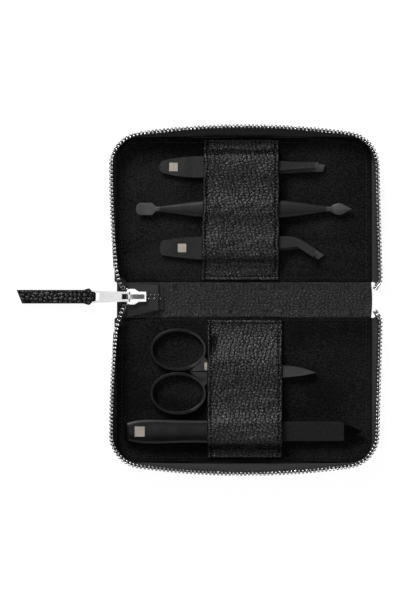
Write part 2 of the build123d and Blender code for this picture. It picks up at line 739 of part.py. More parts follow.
def let_in_plate(body, place, side, surface):
    """Cut a square pocket into a top surface, and make the plain plate that sits in it."""
    depth = inlay_thickness - inlay_proud
    pocket_side = side + 2 * inlay_ease
    pocket = Pos(0, 0, surface - depth - inlay_ease) * Box(pocket_side, pocket_side, 6, align=BOTTOM)
    plate = Pos(0, 0, surface - depth) * Box(side, side, inlay_thickness, align=BOTTOM)
    return body - place * pocket, place * plate


# ================================================================ nail file
def across_x(x, width, height, middle_y, middle_z):
    """An oval section square to X."""
    plane = Plane(origin=(x, middle_y, middle_z), x_dir=(0, 1, 0), z_dir=(1, 0, 0))
    return plane * Ellipse(width / 2, height / 2)


def make_file():
    """A swelling handle with a let-in plate, and a blade with abrasive on both sides."""
    middle = tool_floor + file_handle_height / 2
    stations = [
        (0.0, file_end_width, file_handle_height * 0.6),
        (6.5, file_handle_width * 0.92, file_handle_height * 0.96),
        (20.0, file_handle_width, file_handle_height),
        (42.0, file_handle_width * 0.95, file_handle_height * 0.92),
        (file_handle_length, file_blade_width + 1.0, file_handle_height * 0.62),
    ]
    sections = [across_x(file_left + along, w, h, file_line, middle) for along, w, h in stations]
    handle = loft(sections)
    root = file_left + file_handle_length - file_tang
    tip = file_left + file_length
    point = tip - file_point
    half = file_blade_width / 2
    shoulder = half * 0.72
    outline = [
        Line((root, -half), (point, -half)),
        Line((point, -half), (point, -shoulder)),
        ThreePointArc((point, -shoulder), (point + file_point * 0.55, -shoulder * 0.56), (tip, 0)),
        ThreePointArc((tip, 0), (point + file_point * 0.55, shoulder * 0.56), (point, shoulder)),
        Line((point, shoulder), (point, half)),
        Line((point, half), (root, half)),
        Line((root, half), (root, -half)),
    ]
    low = middle - file_blade_thickness / 2
    blade = Pos(0, file_line, low) * extrude(make_face(outline), file_blade_thickness)
    grip = layer_slip
    slot = block((root - grip, tip), (file_line - half - grip, file_line + half + grip),
                 (low - grip, low + file_blade_thickness + grip))
    handle -= slot
    place = Pos(file_left + file_inlay_reach, file_line, 0)
    surface = middle + file_handle_height / 2 * 0.95
    handle, plate = let_in_plate(handle, place, inlay_side + 0.8, surface)
    grit_side = (file_line - half + file_grit_margin, file_line + half - file_grit_margin)
    grit_run = (file_left + file_handle_length + 2.0, point - file_grit_margin)
    lower = block(grit_run, grit_side, (low - file_grit, low))
    upper = block(grit_run, grit_side, (low + file_blade_thickness, low + file_blade_thickness + file_grit))
    save("file_handle", handle)
    save("file_blade", blade)
    save("file_abrasive", Compound([lower, upper]))
    save("file_inlay", plate)


# ================================================================ tweezers
def arm_profile(left, opened):
    """Side view of one arm: flat, or rising from the heel by the opening angle."""
    right = left + tweezers_length + 2
    start = left - 1
    heel = left + tweezers_heel
    low = tool_floor + (tweezers_arm + layer_slip if opened else 0)
    rise = tan(radians(tweezers_opening)) * (right - heel) if opened else 0
    side = [(start, low), (heel, low), (right, low + rise), (right, low + rise + tweezers_arm),
            (heel, low + tweezers_arm), (start, low + tweezers_arm)]
    face = make_face(Polyline(*[(x, 0, z) for x, z in side], close=True))
    return extrude(face, 100, dir=(0, 1, 0), both=True)


def side_points(left, line, side, stations):
    """Points along one side of a pair: (share of the length, distance from the middle line)."""
    return [(left + share * tweezers_length, line + side * half) for share, half in stations]


def heel_arc(left, line, width, bow):
    """The rounded closed end of a pair."""
    return ThreePointArc((left + bow, line - width / 2), (left, line), (left + bow, line + width / 2))


def slant_plan(left, line):
    """Plan of the slant tweezers: a broad handle, narrowing to slanted tips."""
    right = left + tweezers_length
    wide = tweezers_width / 2
    tip = tweezers_tip_width / 2
    stations = [(0.11, wide * 0.85), (0.29, wide), (0.5, wide * 0.85), (0.74, wide * 0.55)]
    heel = heel_arc(left, line, tweezers_end_width, slant_end_round)
    top = [heel @ 1] + side_points(left, line, 1, stations) + [(right - 2 * slant_tip, line + tip)]
    low = [heel @ 0] + side_points(left, line, -1, stations) + [(right - slant_tip, line - tip)]
    nose = (right, line + tip * 0.8)
    return [heel, Spline(top), Line(top[-1], nose), Line(nose, low[-1]), Spline(list(reversed(low)))]


def angled_plan(left, line):
    """Plan of the angled tweezers: the same handle, with tips bent to one side."""
    wide = angled_width / 2
    tip = tweezers_tip_width / 2
    bend_x = left + tweezers_length - angled_bend_reach
    bend_y = line + wide * 0.32
    turn = radians(angled_bend)

    def nib(along, side):
        return (bend_x + along * cos(turn) + side * sin(turn), bend_y - along * sin(turn) + side * cos(turn))

    heel = heel_arc(left, line, angled_end_width, angled_end_round)
    upper = [(0.11, wide * 0.84), (0.29, wide), (0.5, wide * 0.97), (0.71, wide * 0.9), (0.84, wide * 0.8)]
    lower = [(0.11, wide * 0.82), (0.29, wide), (0.5, wide * 0.7), (0.71, wide * 0.2)]
    top = [heel @ 1] + side_points(left, line, 1, upper) + [nib(1.5, tip)]
    low = [heel @ 0] + side_points(left, line, -1, lower) + [nib(0.5, -tip)]
    corner = nib(angled_bend_reach, tip * 0.8)
    cut = nib(angled_bend_reach - slant_tip, -tip)
    return [heel, Spline(top), Line(top[-1], corner), Line(corner, cut), Line(cut, low[-1]),
            Spline(list(reversed(low)))]


def make_tweezers(name, plan, left, line, plate_reach):
    """Two arms joined at the heel; the upper one carries the let-in plate."""
    column = extrude(make_face(plan), 4 * lining_top + tweezers_length)
    lower = column & arm_profile(left, False)
    upper = column & arm_profile(left, True)
    surface = tool_floor + 2 * tweezers_arm + layer_slip
    upper, plate = let_in_plate(upper, Pos(left + plate_reach, line, 0), inlay_side, surface)
    save(f"{name}_tweezers_lower_arm", lower)
    save(f"{name}_tweezers_upper_arm", upper)
    save(f"{name}_tweezers_inlay", plate)


# ================================================================ cuticle pusher
def make_pusher():
    """A slim spindle with a scoop-shaped pusher at one end and a spear at the other."""
    middle = tool_floor + pusher_body_height / 2
    right = pusher_left + pusher_length
    neck_left = pusher_left + spoon_length + 2.0
    neck_right = right - spear_length - 0.4
    centre = (neck_left + neck_right) / 2
    stations = [
        (neck_left - 4.0, spoon_width * 0.5, pusher_end),
        (neck_left, pusher_neck, pusher_neck * 0.75),
        (neck_left + pusher_shoulder, pusher_body_width * 0.9, pusher_body_height * 0.91),
        (centre, pusher_body_width, pusher_body_height),
        (neck_right - pusher_shoulder, pusher_body_width * 0.94, pusher_body_height * 0.94),
        (neck_right, pusher_neck, pusher_neck * 0.75),
        (neck_right + 3.0, spear_width * 0.4, pusher_end),
    ]
    body = loft([across_x(x, w, h, pusher_line, middle) for x, w, h in stations])
    spoon_half = spoon_width / 2
    neck_half = pusher_neck / 2 - 0.2
    round_x = pusher_left + spoon_end_round
    straight_x = pusher_left + spoon_straight
    spoon = [
        ThreePointArc((round_x, -spoon_half), (pusher_left, 0), (round_x, spoon_half)),
        Line((round_x, spoon_half), (straight_x, spoon_half)),
        Line((straight_x, spoon_half), (neck_left - 0.6, neck_half)),
        Line((neck_left - 0.6, neck_half), (neck_left - 0.6, -neck_half)),
        Line((neck_left - 0.6, -neck_half), (straight_x, -spoon_half)),
        Line((straight_x, -spoon_half), (round_x, -spoon_half)),
    ]
    spear_half = spear_width / 2
    shoulder_x = right - spear_shoulder
    cheek_x = right - spear_cheek
    bulge_x = (shoulder_x + cheek_x) / 2
    shoulder_half = spear_half * 0.9
    cheek_half = spear_half * 0.84
    upper_cheek = ThreePointArc((shoulder_x, shoulder_half), (bulge_x, spear_half), (cheek_x, cheek_half))
    lower_cheek = ThreePointArc((cheek_x, -cheek_half), (bulge_x, -spear_half), (shoulder_x, -shoulder_half))
    spear = [
        Line((neck_right + 1.0, neck_half), upper_cheek @ 0),
        upper_cheek,
        Line(upper_cheek @ 1, (right, 0)),
        Line((right, 0), lower_cheek @ 0),
        lower_cheek,
        Line(lower_cheek @ 1, (neck_right + 1.0, -neck_half)),
        Line((neck_right + 1.0, -neck_half), (neck_right + 1.0, neck_half)),
    ]
    place = Pos(0, pusher_line, middle - pusher_end / 2)
    ends = [place * extrude(make_face(outline), pusher_end) for outline in (spoon, spear)]
    save("cuticle_pusher", body + ends)


# ================================================================ the whole set
make_panels()
make_spine()
make_tape()
make_teeth()
make_turn("upper", 1)
make_turn("lower", -1)
make_end_tape()
make_joined_teeth()
make_slider()
make_puller()
make_pull_tab()

band_reach = upper_band_middle + band_width / 2
tweezers_height = 2 * tweezers_arm + layer_slip + tool_ease
rise = tan(radians(tweezers_opening))
slant_height = tweezers_height + rise * (band_reach + tweezers_travel - slant_left - tweezers_heel)
angled_height = tweezers_height + rise * (band_reach + tweezers_travel - angled_left - tweezers_heel)
pusher_crown = pusher_body_width * 0.3
make_band("upper_band", upper_band_middle, 1, upper_band_inset, [
    (angled_line - angled_width / 2, angled_line + angled_width / 2, angled_height),
    (pusher_line - pusher_crown, pusher_line + pusher_crown, tool_ease + pusher_body_height),
    (slant_line - tweezers_width / 2, slant_line + tweezers_width / 2, slant_height),
])
scissors_height = tool_ease + 2 * scissors_blade + 2 * layer_slip + screw_head
ring_outside = -scissors_line - ring_parting / 2 - ring_width
file_crown = file_handle_width * 0.32
make_band("lower_band", lower_band_middle, -1, lower_band_inset, [
    (ring_outside + ring_end_reach, -scissors_line + band_past_scissors, scissors_height),
    (-file_line - file_crown, -file_line + file_crown, tool_ease + file_handle_height),
])
make_scissors()
make_file()
make_tweezers("slant", slant_plan(slant_left, slant_line), slant_left, slant_line, slant_inlay_reach)
make_tweezers("angled", angled_plan(angled_left, angled_line), angled_left, angled_line,
              angled_inlay_reach)
make_pusher()
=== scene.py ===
# %% [markdown]
# # A zip-round manicure case, dressed for the camera
# The real object is a leather case that lies open and flat. Each half is a board between pebbled
# leather and black suede, with a wall of zipper tape round three sides and a leather band across the
# tools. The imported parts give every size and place, so this file only adds surfaces: soft pieces are
# made again as soft things, and the steel pieces keep their shapes and get bevels and finishes.

# %% Load the frame
from math import atan2, cos, pi, radians, sin, tan

import bmesh
import bpy
import numpy as np
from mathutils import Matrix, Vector


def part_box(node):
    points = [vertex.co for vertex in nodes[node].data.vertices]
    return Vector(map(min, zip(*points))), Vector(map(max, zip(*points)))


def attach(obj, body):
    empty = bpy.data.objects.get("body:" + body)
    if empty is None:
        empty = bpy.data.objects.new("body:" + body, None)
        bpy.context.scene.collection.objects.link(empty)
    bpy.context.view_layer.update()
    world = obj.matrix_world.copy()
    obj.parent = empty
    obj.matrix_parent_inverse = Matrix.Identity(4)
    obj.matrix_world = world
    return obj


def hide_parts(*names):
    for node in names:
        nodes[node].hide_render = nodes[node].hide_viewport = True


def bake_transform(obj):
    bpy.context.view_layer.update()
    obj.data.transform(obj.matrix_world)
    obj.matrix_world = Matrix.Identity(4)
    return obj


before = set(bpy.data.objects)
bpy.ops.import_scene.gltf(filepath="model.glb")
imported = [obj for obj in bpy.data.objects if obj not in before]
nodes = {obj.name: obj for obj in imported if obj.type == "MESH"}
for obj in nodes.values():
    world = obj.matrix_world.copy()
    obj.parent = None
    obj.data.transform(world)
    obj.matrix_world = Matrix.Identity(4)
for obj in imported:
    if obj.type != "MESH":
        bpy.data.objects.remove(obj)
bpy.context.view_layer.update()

MM = 0.001

# %% [markdown]
# ## Camera
# The case was photographed from straight above through a long lens, so nothing shows perspective.
# A camera far away with a long lens does the same. One pixel is 0.54 mm at the height of the tools.

# %% Camera
photo_height_px = 600
mm_per_pixel = 0.54
view_middle = (-23.8, 0.0, 5.0)      # the middle of the image, on the tools
camera_height = 1800.0
camera_data = bpy.data.cameras.new("camera")
camera_data.lens = camera_data.sensor_width * camera_height / (photo_height_px * mm_per_pixel)
camera_data.clip_end = 20
camera = bpy.data.objects.new("camera", camera_data)
camera.location = Vector(view_middle) * MM + Vector((0, 0, camera_height * MM))
bpy.context.scene.collection.objects.link(camera)
bpy.context.scene.camera = camera
print("lens:", round(camera_data.lens, 1), "mm")

# %% [markdown]
# ## Building shader networks in code
# A material is a graph of nodes. Two small helpers keep the graphs short: `put` adds a node and either
# sets or links its inputs, and `maths` adds one arithmetic step and returns its output.

# %% Node helpers
def put(tree, kind, settings=None, **inputs):
    """Add a shader node. An input's name may have _ for a space; a socket as its value is linked."""
    made = tree.nodes.new("ShaderNode" + kind)
    for key, value in (settings or {}).items():
        setattr(made, key, value)
    for key, value in inputs.items():
        connect(tree, made.inputs[key.replace("_", " ")], value)
    return made


def connect(tree, socket, value):
    if isinstance(value, bpy.types.NodeSocket):
        tree.links.new(value, socket)
    else:
        socket.default_value = value


def maths(tree, operation, *values):
    made = tree.nodes.new("ShaderNodeMath")
    made.operation = operation
    for socket, value in zip(made.inputs, values):
        connect(tree, socket, value)
    return made.outputs[0]


def spread(tree, value, low, high, to_low=0.0, to_high=1.0):
    """Map low..high smoothly onto to_low..to_high."""
    made = put(tree, "MapRange", {"interpolation_type": "SMOOTHSTEP"})
    for name, number in (("From Min", low), ("From Max", high), ("To Min", to_low), ("To Max", to_high)):
        connect(tree, made.inputs[name], number)
    connect(tree, made.inputs["Value"], value)
    return made.outputs[0]


def new_group(name, inputs, outputs):
    """A node group with named sockets. inputs maps each name to its default number, or to None for a
    vector; outputs are names of numbers."""
    tree = bpy.data.node_groups.new(name, "ShaderNodeTree")
    for label, default in inputs.items():
        kind = "NodeSocketVector" if default is None else "NodeSocketFloat"
        socket = tree.interface.new_socket(label, in_out="INPUT", socket_type=kind)
        if default is not None:
            socket.default_value = default
    for label in outputs:
        tree.interface.new_socket(label, in_out="OUTPUT", socket_type="NodeSocketFloat")
    return tree, tree.nodes.new("NodeGroupInput").outputs, tree.nodes.new("NodeGroupOutput").inputs


def use_group(tree, group, **inputs):
    made = tree.nodes.new("ShaderNodeGroup")
    made.node_tree = group
    for key, value in inputs.items():
        connect(tree, made.inputs[key.replace("_", " ")], value)
    return made.outputs


# %% [markdown]
# ## Leather grain
# Pebbled leather is a field of small cushions with creases between them, a little longer across the
# hide than along it, and finer in some places than in others. A Voronoi texture's distance to the cell
# edge gives the creases, bent by noise so that no cell is a straight-sided polygon.

# %% Pebble group
def make_pebble_group():
    tree, given, result = new_group(
        "pebbled_grain", {"Place": None, "Pebble": 0.0011, "Bend": 0.35}, ["Height", "Crease", "Patch"])
    stretched = put(tree, "Mapping", Vector=given["Place"], Scale=(0.78, 1.0, 1.0))
    scale = maths(tree, "DIVIDE", 1.0, given["Pebble"])
    noise = put(tree, "TexNoise", Vector=stretched.outputs[0], Scale=maths(tree, "MULTIPLY", scale, 0.6), Detail=2.0)
    bend = put(tree, "VectorMath", {"operation": "SCALE"}, Scale=maths(tree, "MULTIPLY", given["Pebble"], given["Bend"]))
    centred = put(tree, "VectorMath", {"operation": "SUBTRACT"})
    connect(tree, centred.inputs[0], noise.outputs["Color"])
    centred.inputs[1].default_value = (0.5, 0.5, 0.5)
    connect(tree, bend.inputs[0], centred.outputs[0])
    moved = put(tree, "VectorMath", {"operation": "ADD"})
    connect(tree, moved.inputs[0], stretched.outputs[0])
    connect(tree, moved.inputs[1], bend.outputs[0])
    cell = put(tree, "TexVoronoi", {"feature": "DISTANCE_TO_EDGE"}, Vector=moved.outputs[0], Scale=scale)
    small = put(tree, "TexVoronoi", {"feature": "DISTANCE_TO_EDGE"}, Vector=moved.outputs[0],
                Scale=maths(tree, "MULTIPLY", scale, 2.3))
    cushion = spread(tree, cell.outputs["Distance"], 0.0, 0.3)
    fine = spread(tree, small.outputs["Distance"], 0.0, 0.3, 0.0, 0.3)
    pores = put(tree, "TexNoise", Vector=given["Place"], Scale=maths(tree, "MULTIPLY", scale, 5.0), Detail=2.0)
    height = maths(tree, "ADD", maths(tree, "ADD", cushion, fine), maths(tree, "MULTIPLY", pores.outputs[0], 0.25))
    connect(tree, result["Height"], height)
    # Painted shade: this crease mask darkens the colour and dims the shine in the creases.
    connect(tree, result["Crease"], spread(tree, cell.outputs["Distance"], 0.02, 0.16, 1.0, 0.0))
    patch = put(tree, "TexNoise", Vector=given["Place"], Scale=90.0, Detail=3.0)
    connect(tree, result["Patch"], spread(tree, patch.outputs[0], 0.35, 0.65))
    return tree


pebbled_grain = make_pebble_group()
print("group:", pebbled_grain.name)

# %% [markdown]
# ## Suede, weave, brushed steel and coat
# Suede has a nap: soft fibres that lie one way here and another way there, so it shows cloudy strokes.
# The zipper tape is woven in a herringbone, whose ribs change direction in stripes along the tape.
# Its colour has painted light on the ribs' crests and painted shade in their grooves.
# Brushed steel has long fine scratches, and a matte coat has a faint grain. Wear shows on raised edges.

# %% Nap group
def make_nap_group():
    tree, given, result = new_group("suede_nap", {"Place": None, "Fibre": 0.00035}, ["Height", "Stroke"])
    scale = maths(tree, "DIVIDE", 1.0, given["Fibre"])
    fibre = put(tree, "TexNoise", Vector=given["Place"], Scale=scale, Detail=4.0, Roughness=0.75)
    turned = put(tree, "Mapping", Vector=given["Place"], Rotation=(0, 0, 0.5), Scale=(0.6, 1.0, 1.0))
    cloud = put(tree, "TexNoise", Vector=turned.outputs[0], Scale=24.0, Detail=3.0, Roughness=0.5, Distortion=0.6)
    lay = put(tree, "TexNoise", Vector=turned.outputs[0], Scale=1500.0, Detail=2.0, Roughness=0.8)
    stroke = maths(tree, "ADD", maths(tree, "MULTIPLY", cloud.outputs[0], 0.4), maths(tree, "MULTIPLY", lay.outputs[0], 0.6))
    connect(tree, result["Height"], maths(tree, "ADD", fibre.outputs[0], maths(tree, "MULTIPLY", lay.outputs[0], 0.8)))
    connect(tree, result["Stroke"], spread(tree, stroke, 0.43, 0.62))
    return tree


# %% Herringbone group
def make_weave_group():
    tree, given, result = new_group(
        "herringbone", {"Place": None, "Rib": 0.0011, "Stripe": 0.0042}, ["Height", "Shade"])
    split = put(tree, "SeparateXYZ", Vector=given["Place"])
    along, across = split.outputs[0], split.outputs[1]
    folded = maths(tree, "PINGPONG", across, given["Stripe"])
    lean = maths(tree, "ADD", along, folded)
    rib = maths(tree, "SINE", maths(tree, "MULTIPLY", maths(tree, "DIVIDE", lean, given["Rib"]), 2 * pi))
    yarn = maths(tree, "SINE", maths(tree, "MULTIPLY", maths(tree, "DIVIDE", across, given["Rib"]), 4 * pi))
    fuzz = put(tree, "TexNoise", Vector=given["Place"], Scale=4000.0, Detail=3.0)
    height = maths(tree, "ADD", maths(tree, "MULTIPLY", rib, 0.35), maths(tree, "MULTIPLY", yarn, 0.12))
    connect(tree, result["Height"], maths(tree, "ADD", height, maths(tree, "MULTIPLY", fuzz.outputs[0], 0.4)))
    # Painted light and shade: the colour follows the ribs, light on their crests and dark in their grooves.
    connect(tree, result["Shade"], spread(tree, rib, -1.0, 1.0))
    return tree


# %% Brushed, coat and wear groups
def make_brushed_group():
    tree, given, result = new_group("brushed_steel", {"Place": None, "Length": 25.0}, ["Streak", "Height"])
    squeezed = put(tree, "CombineXYZ", X=maths(tree, "DIVIDE", 1.0, given["Length"]), Y=1.0, Z=1.0)
    stretched = put(tree, "VectorMath", {"operation": "MULTIPLY"})
    connect(tree, stretched.inputs[0], given["Place"])
    connect(tree, stretched.inputs[1], squeezed.outputs[0])
    streak = put(tree, "TexNoise", Vector=stretched.outputs[0], Scale=5200.0, Detail=3.0, Roughness=0.7)
    connect(tree, result["Streak"], spread(tree, streak.outputs[0], 0.3, 0.7))
    connect(tree, result["Height"], streak.outputs[0])
    return tree


def make_coat_group():
    tree, given, result = new_group("matte_coat", {"Place": None, "Grain": 0.00016}, ["Height", "Tone"])
    scale = maths(tree, "DIVIDE", 1.0, given["Grain"])
    grain = put(tree, "TexNoise", Vector=given["Place"], Scale=scale, Detail=2.0)
    handling = put(tree, "TexNoise", Vector=given["Place"], Scale=160.0, Detail=4.0, Roughness=0.65)
    connect(tree, result["Height"], grain.outputs[0])
    connect(tree, result["Tone"], spread(tree, handling.outputs[0], 0.35, 0.7))
    return tree


def make_wear_group():
    tree, given, result = new_group("edge_wear", {"Place": None, "Reach": 0.06}, ["Edge"])
    raised = put(tree, "NewGeometry").outputs["Pointiness"]
    patchy = put(tree, "TexNoise", Vector=given["Place"], Scale=700.0, Detail=3.0)
    high = maths(tree, "ADD", 0.5, given["Reach"])
    edge = spread(tree, raised, 0.505, high)
    connect(tree, result["Edge"], maths(tree, "MULTIPLY", edge, spread(tree, patchy.outputs[0], 0.25, 0.6, 0.35, 1.0)))
    return tree


suede_nap = make_nap_group()
herringbone = make_weave_group()
brushed_steel = make_brushed_group()
matte_coat = make_coat_group()
edge_wear = make_wear_group()
print("groups:", len(bpy.data.node_groups))

# %% [markdown]
# ## Materials
# Every material is a Principled shader whose colour, roughness and bump come from the groups. Each
# finish mixes two colours by a mask, such as painted crease shade and pebble top, or coat and worn edge.

# %% Material helper
materials = {}


def finish(name, metallic=0.0, specular=0.5, **sockets):
    """A material with an empty Principled shader. Even values go straight onto its sockets."""
    made = bpy.data.materials.new(name)
    made.use_nodes = True
    tree = made.node_tree
    shader = tree.nodes["Principled BSDF"]
    shader.inputs["Metallic"].default_value = metallic
    shader.inputs["Specular IOR Level"].default_value = specular
    for key, value in sockets.items():
        shader.inputs[key.replace("_", " ")].default_value = value
    materials[name] = made
    return tree, shader, put(tree, "TexCoord")


def grey(level, warmth=0.0):
    return (level * (1 + warmth), level, level * (1 - warmth), 1)


def two_tone(tree, shader, mask, low, high):
    mix = put(tree, "Mix", {"data_type": "RGBA"})
    connect(tree, mix.inputs["Factor"], mask)
    mix.inputs["A"].default_value = low
    mix.inputs["B"].default_value = high
    colour_out = [socket for socket in mix.outputs if socket.type == "RGBA"][0]
    tree.links.new(colour_out, shader.inputs["Base Color"])
    return colour_out


def bump(tree, shader, height, strength, depth):
    made = put(tree, "Bump", Strength=strength, Distance=depth, Height=height)
    tree.links.new(made.outputs[0], shader.inputs["Normal"])


# %% Leathers
def make_leather(name, pebble, depth, crease, top, shine=(0.36, 0.26), specular=0.85):
    """Pebbled leather with painted shade in its creases. A mesh with its own pebbles says by a point attribute where
    they meet.
    """
    tree, shader, place = finish(name)
    grain = use_group(tree, pebbled_grain, Place=place.outputs["Object"], Pebble=pebble)
    crease_shade = put(tree, "Attribute", {"attribute_name": "crease_shade"}).outputs["Fac"]
    # Painted shade: creases are darkened and lose shine, both from the texture and from the mesh's own marks.
    painted_crease_shade = maths(tree, "MAXIMUM", maths(tree, "MULTIPLY", grain["Crease"], 0.5), crease_shade)
    two_tone(tree, shader, painted_crease_shade, grey(top), grey(crease))
    connect(tree, shader.inputs["Specular IOR Level"], spread(tree, painted_crease_shade, 0.0, 1.0, specular, specular * 0.12))
    connect(tree, shader.inputs["Roughness"], spread(tree, grain["Patch"], 0.0, 1.0, *shine))
    bump(tree, shader, grain["Height"], 1.0, depth)


# In each line the darker of the two colours is painted shade in the creases.
make_leather("band_leather", 0.0008, 0.00008, 0.001, 0.0075)
make_leather("cover_leather", 0.0012, 0.00018, 0.0015, 0.0065)
make_leather("spine_leather", 0.00095, 0.00012, 0.003, 0.009, shine=(0.5, 0.38), specular=0.65)
make_leather("tab_leather", 0.0008, 0.00006, 0.001, 0.0065, specular=0.7)

# %% Suede, tape and thread
def make_suede():
    tree, shader, place = finish("suede", specular=0.08, Roughness=0.95, Sheen_Weight=0.06, Sheen_Roughness=0.6)
    nap = use_group(tree, suede_nap, Place=place.outputs["Object"])
    two_tone(tree, shader, nap["Stroke"], grey(0.0008), grey(0.0190))
    bump(tree, shader, nap["Height"], 0.7, 0.00018)


def make_tape():
    tree, shader, place = finish("zipper_tape", specular=0.25, Roughness=0.85, Sheen_Weight=0.04)
    weave = use_group(tree, herringbone, Place=place.outputs["UV"])
    # The two colours are painted light on the rib crests and painted shade in the grooves.
    two_tone(tree, shader, weave["Shade"], grey(0.0005), grey(0.09))
    bump(tree, shader, weave["Height"], 1.0, 0.0003)


def make_thread():
    tree, shader, place = finish("thread", specular=0.3, Roughness=0.7)
    twist = put(tree, "TexWave", Vector=place.outputs["Object"], Scale=900.0, Distortion=2.0)
    two_tone(tree, shader, twist.outputs[1], grey(0.012), grey(0.03))
    bump(tree, shader, twist.outputs[1], 0.5, 0.00005)


make_suede()
make_tape()
make_thread()

# %% Metals
def make_plated(name, level, rough, streaks, warmth=0.004):
    tree, shader, place = finish(name, metallic=1.0)
    brushed = use_group(tree, brushed_steel, Place=place.outputs["Object"], Length=streaks)
    wear = use_group(tree, edge_wear, Place=place.outputs["Object"])
    two_tone(tree, shader, wear["Edge"], grey(level, warmth), grey(min(1.0, level * 1.15), warmth))
    connect(tree, shader.inputs["Roughness"], spread(tree, brushed["Streak"], 0.0, 1.0, rough * 0.8, rough * 1.25))
    bump(tree, shader, brushed["Height"], 0.12, 0.00002)


def make_coated(name, coat, worn, rough, level=0.38, ends=None, shine=0.5, ring=None,
                grain=0.00016, streaks=25.0):
    """Matte black coat over steel: a soft grain and a little wear on the edges. Past ends, two places
    along the tool in metres, the coat is brushed and its shine is another; on the tweezers' tips the
    lighter brushed colour and higher shine are a painted highlight. ring is a place and the weaker
    shine left of it."""
    tree, shader, place = finish(name)
    along = put(tree, "SeparateXYZ", Vector=place.outputs["Object"]).outputs["X"]
    near, far = ends or (-9.0, 9.0)
    past = maths(tree, "MAXIMUM", spread(tree, along, near, near + 0.002, 1.0, 0.0), spread(tree, along, far - 0.002, far))
    reflection = spread(tree, past, 0.0, 1.0, level, shine)
    if ring:
        reflection = maths(tree, "MULTIPLY", reflection, spread(tree, along, ring[0], ring[0] + 0.004, ring[1] / level, 1.0))
    connect(tree, shader.inputs["Specular IOR Level"], reflection)
    # Past the ends the colour takes lighter brushed streaks: a brushed finish, and on the tweezers' tips a painted
    # highlight.
    brushed_end_and_highlight = maths(tree, "MULTIPLY", past, max(0.0, shine - 0.5))
    skin = use_group(tree, matte_coat, Place=place.outputs["Object"], Grain=grain)
    wear = use_group(tree, edge_wear, Place=place.outputs["Object"])
    brushed = use_group(tree, brushed_steel, Place=place.outputs["Object"], Length=streaks)
    tone = maths(tree, "MULTIPLY", skin["Tone"], 0.12)
    streak = maths(tree, "MULTIPLY", brushed["Streak"], brushed_end_and_highlight)
    mask = maths(tree, "ADD", maths(tree, "ADD", tone, streak), maths(tree, "MULTIPLY", wear["Edge"], 0.8))
    two_tone(tree, shader, mask, grey(coat), grey(worn))
    connect(tree, shader.inputs["Roughness"], spread(tree, skin["Tone"], 0.0, 1.0, rough * 1.1, rough * 0.9))
    bump(tree, shader, maths(tree, "ADD", skin["Height"], maths(tree, "MULTIPLY", streak, 2.0)), 0.25, 0.00003)


def make_abrasive():
    tree, shader, place = finish("abrasive", specular=0.32, Roughness=0.7)
    grit = put(tree, "TexVoronoi", Vector=place.outputs["Object"], Scale=2600.0)
    glint = spread(tree, grit.outputs["Distance"], 0.0, 0.6, 1.0, 0.0)
    two_tone(tree, shader, glint, grey(0.002), grey(0.03))
    bump(tree, shader, grit.outputs["Distance"], 0.8, 0.0001)


def make_board():
    tree, shader, place = finish("board", specular=0.3, Roughness=0.9)
    fibre = put(tree, "TexNoise", Vector=place.outputs["Object"], Scale=1500.0, Detail=4.0)
    two_tone(tree, shader, fibre.outputs[0], (0.1, 0.08, 0.055, 1), (0.2, 0.16, 0.12, 1))
    bump(tree, shader, fibre.outputs[0], 0.4, 0.0001)


make_plated("zipper_metal", 0.66, 0.24, 3.0)
make_plated("slider_metal", 0.95, 0.26, 14.0)
make_plated("inlay", 0.42, 0.42, 30.0, warmth=0.12)
# Past 0.0395 m the tweezers' lower tips are lighter and shinier: a painted highlight on the lit tip facet.
make_coated("tweezers_steel", 0.003, 0.03, 0.5, level=0.36, ends=(-0.09, 0.0395), shine=0.85)
make_coated("scissors_steel", 0.001, 0.02, 0.38, level=0.5, ends=(-0.09, 0.0150), shine=0.75, ring=(-0.030, 0.24))
make_coated("pusher_steel", 0.003, 0.04, 0.5, level=0.46, ends=(-0.0468, 0.0455), shine=1.15)
make_coated("handle_black", 0.0006, 0.004, 0.36, level=0.3)
make_coated("blade_steel", 0.0005, 0.004, 0.5, level=0.4, ends=(-0.09, 0.0540), shine=0.0)
make_abrasive()
make_board()
print("materials:", ", ".join(materials))

# %% [markdown]
# ## Floor and light
# A white floor under a soft white sky. The floor is at full white for the camera,
# and keeps the case's faint shadow. Seen from below it is clear, so that the underside can be looked
# at. One large lamp beyond the upper half rakes across the leather, so that each pebble has a lit side.

# %% Floor
def make_floor():
    made = bpy.data.materials.new("floor")
    made.use_nodes = True
    tree = made.node_tree
    tree.nodes.clear()
    path = put(tree, "LightPath").outputs
    seen = maths(tree, "MAXIMUM", path["Is Camera Ray"], path["Is Transmission Ray"])
    plain = put(tree, "BsdfDiffuse", Color=grey(0.1))
    bright = put(tree, "AddShader")
    glow = put(tree, "Emission", Color=grey(1.0), Strength=0.93)
    dim = put(tree, "BsdfDiffuse", Color=grey(0.25))
    tree.links.new(glow.outputs[0], bright.inputs[0])
    tree.links.new(dim.outputs[0], bright.inputs[1])
    by_ray = put(tree, "MixShader", Fac=seen)
    tree.links.new(plain.outputs[0], by_ray.inputs[1])
    tree.links.new(bright.outputs[0], by_ray.inputs[2])
    clear = put(tree, "BsdfTransparent")
    by_side = put(tree, "MixShader", Fac=put(tree, "NewGeometry").outputs["Backfacing"])
    tree.links.new(by_ray.outputs[0], by_side.inputs[1])
    tree.links.new(clear.outputs[0], by_side.inputs[2])
    out = put(tree, "OutputMaterial")
    tree.links.new(by_side.outputs[0], out.inputs["Surface"])
    half = 12.0
    mesh = bpy.data.meshes.new("floor")
    mesh.from_pydata([(-half, -half, 0), (half, -half, 0), (half, half, 0), (-half, half, 0)], [], [(0, 1, 2, 3)])
    mesh.materials.append(made)
    floor = bpy.data.objects.new("floor", mesh)
    bpy.context.scene.collection.objects.link(floor)
    floor.location.z = -0.00002


make_floor()

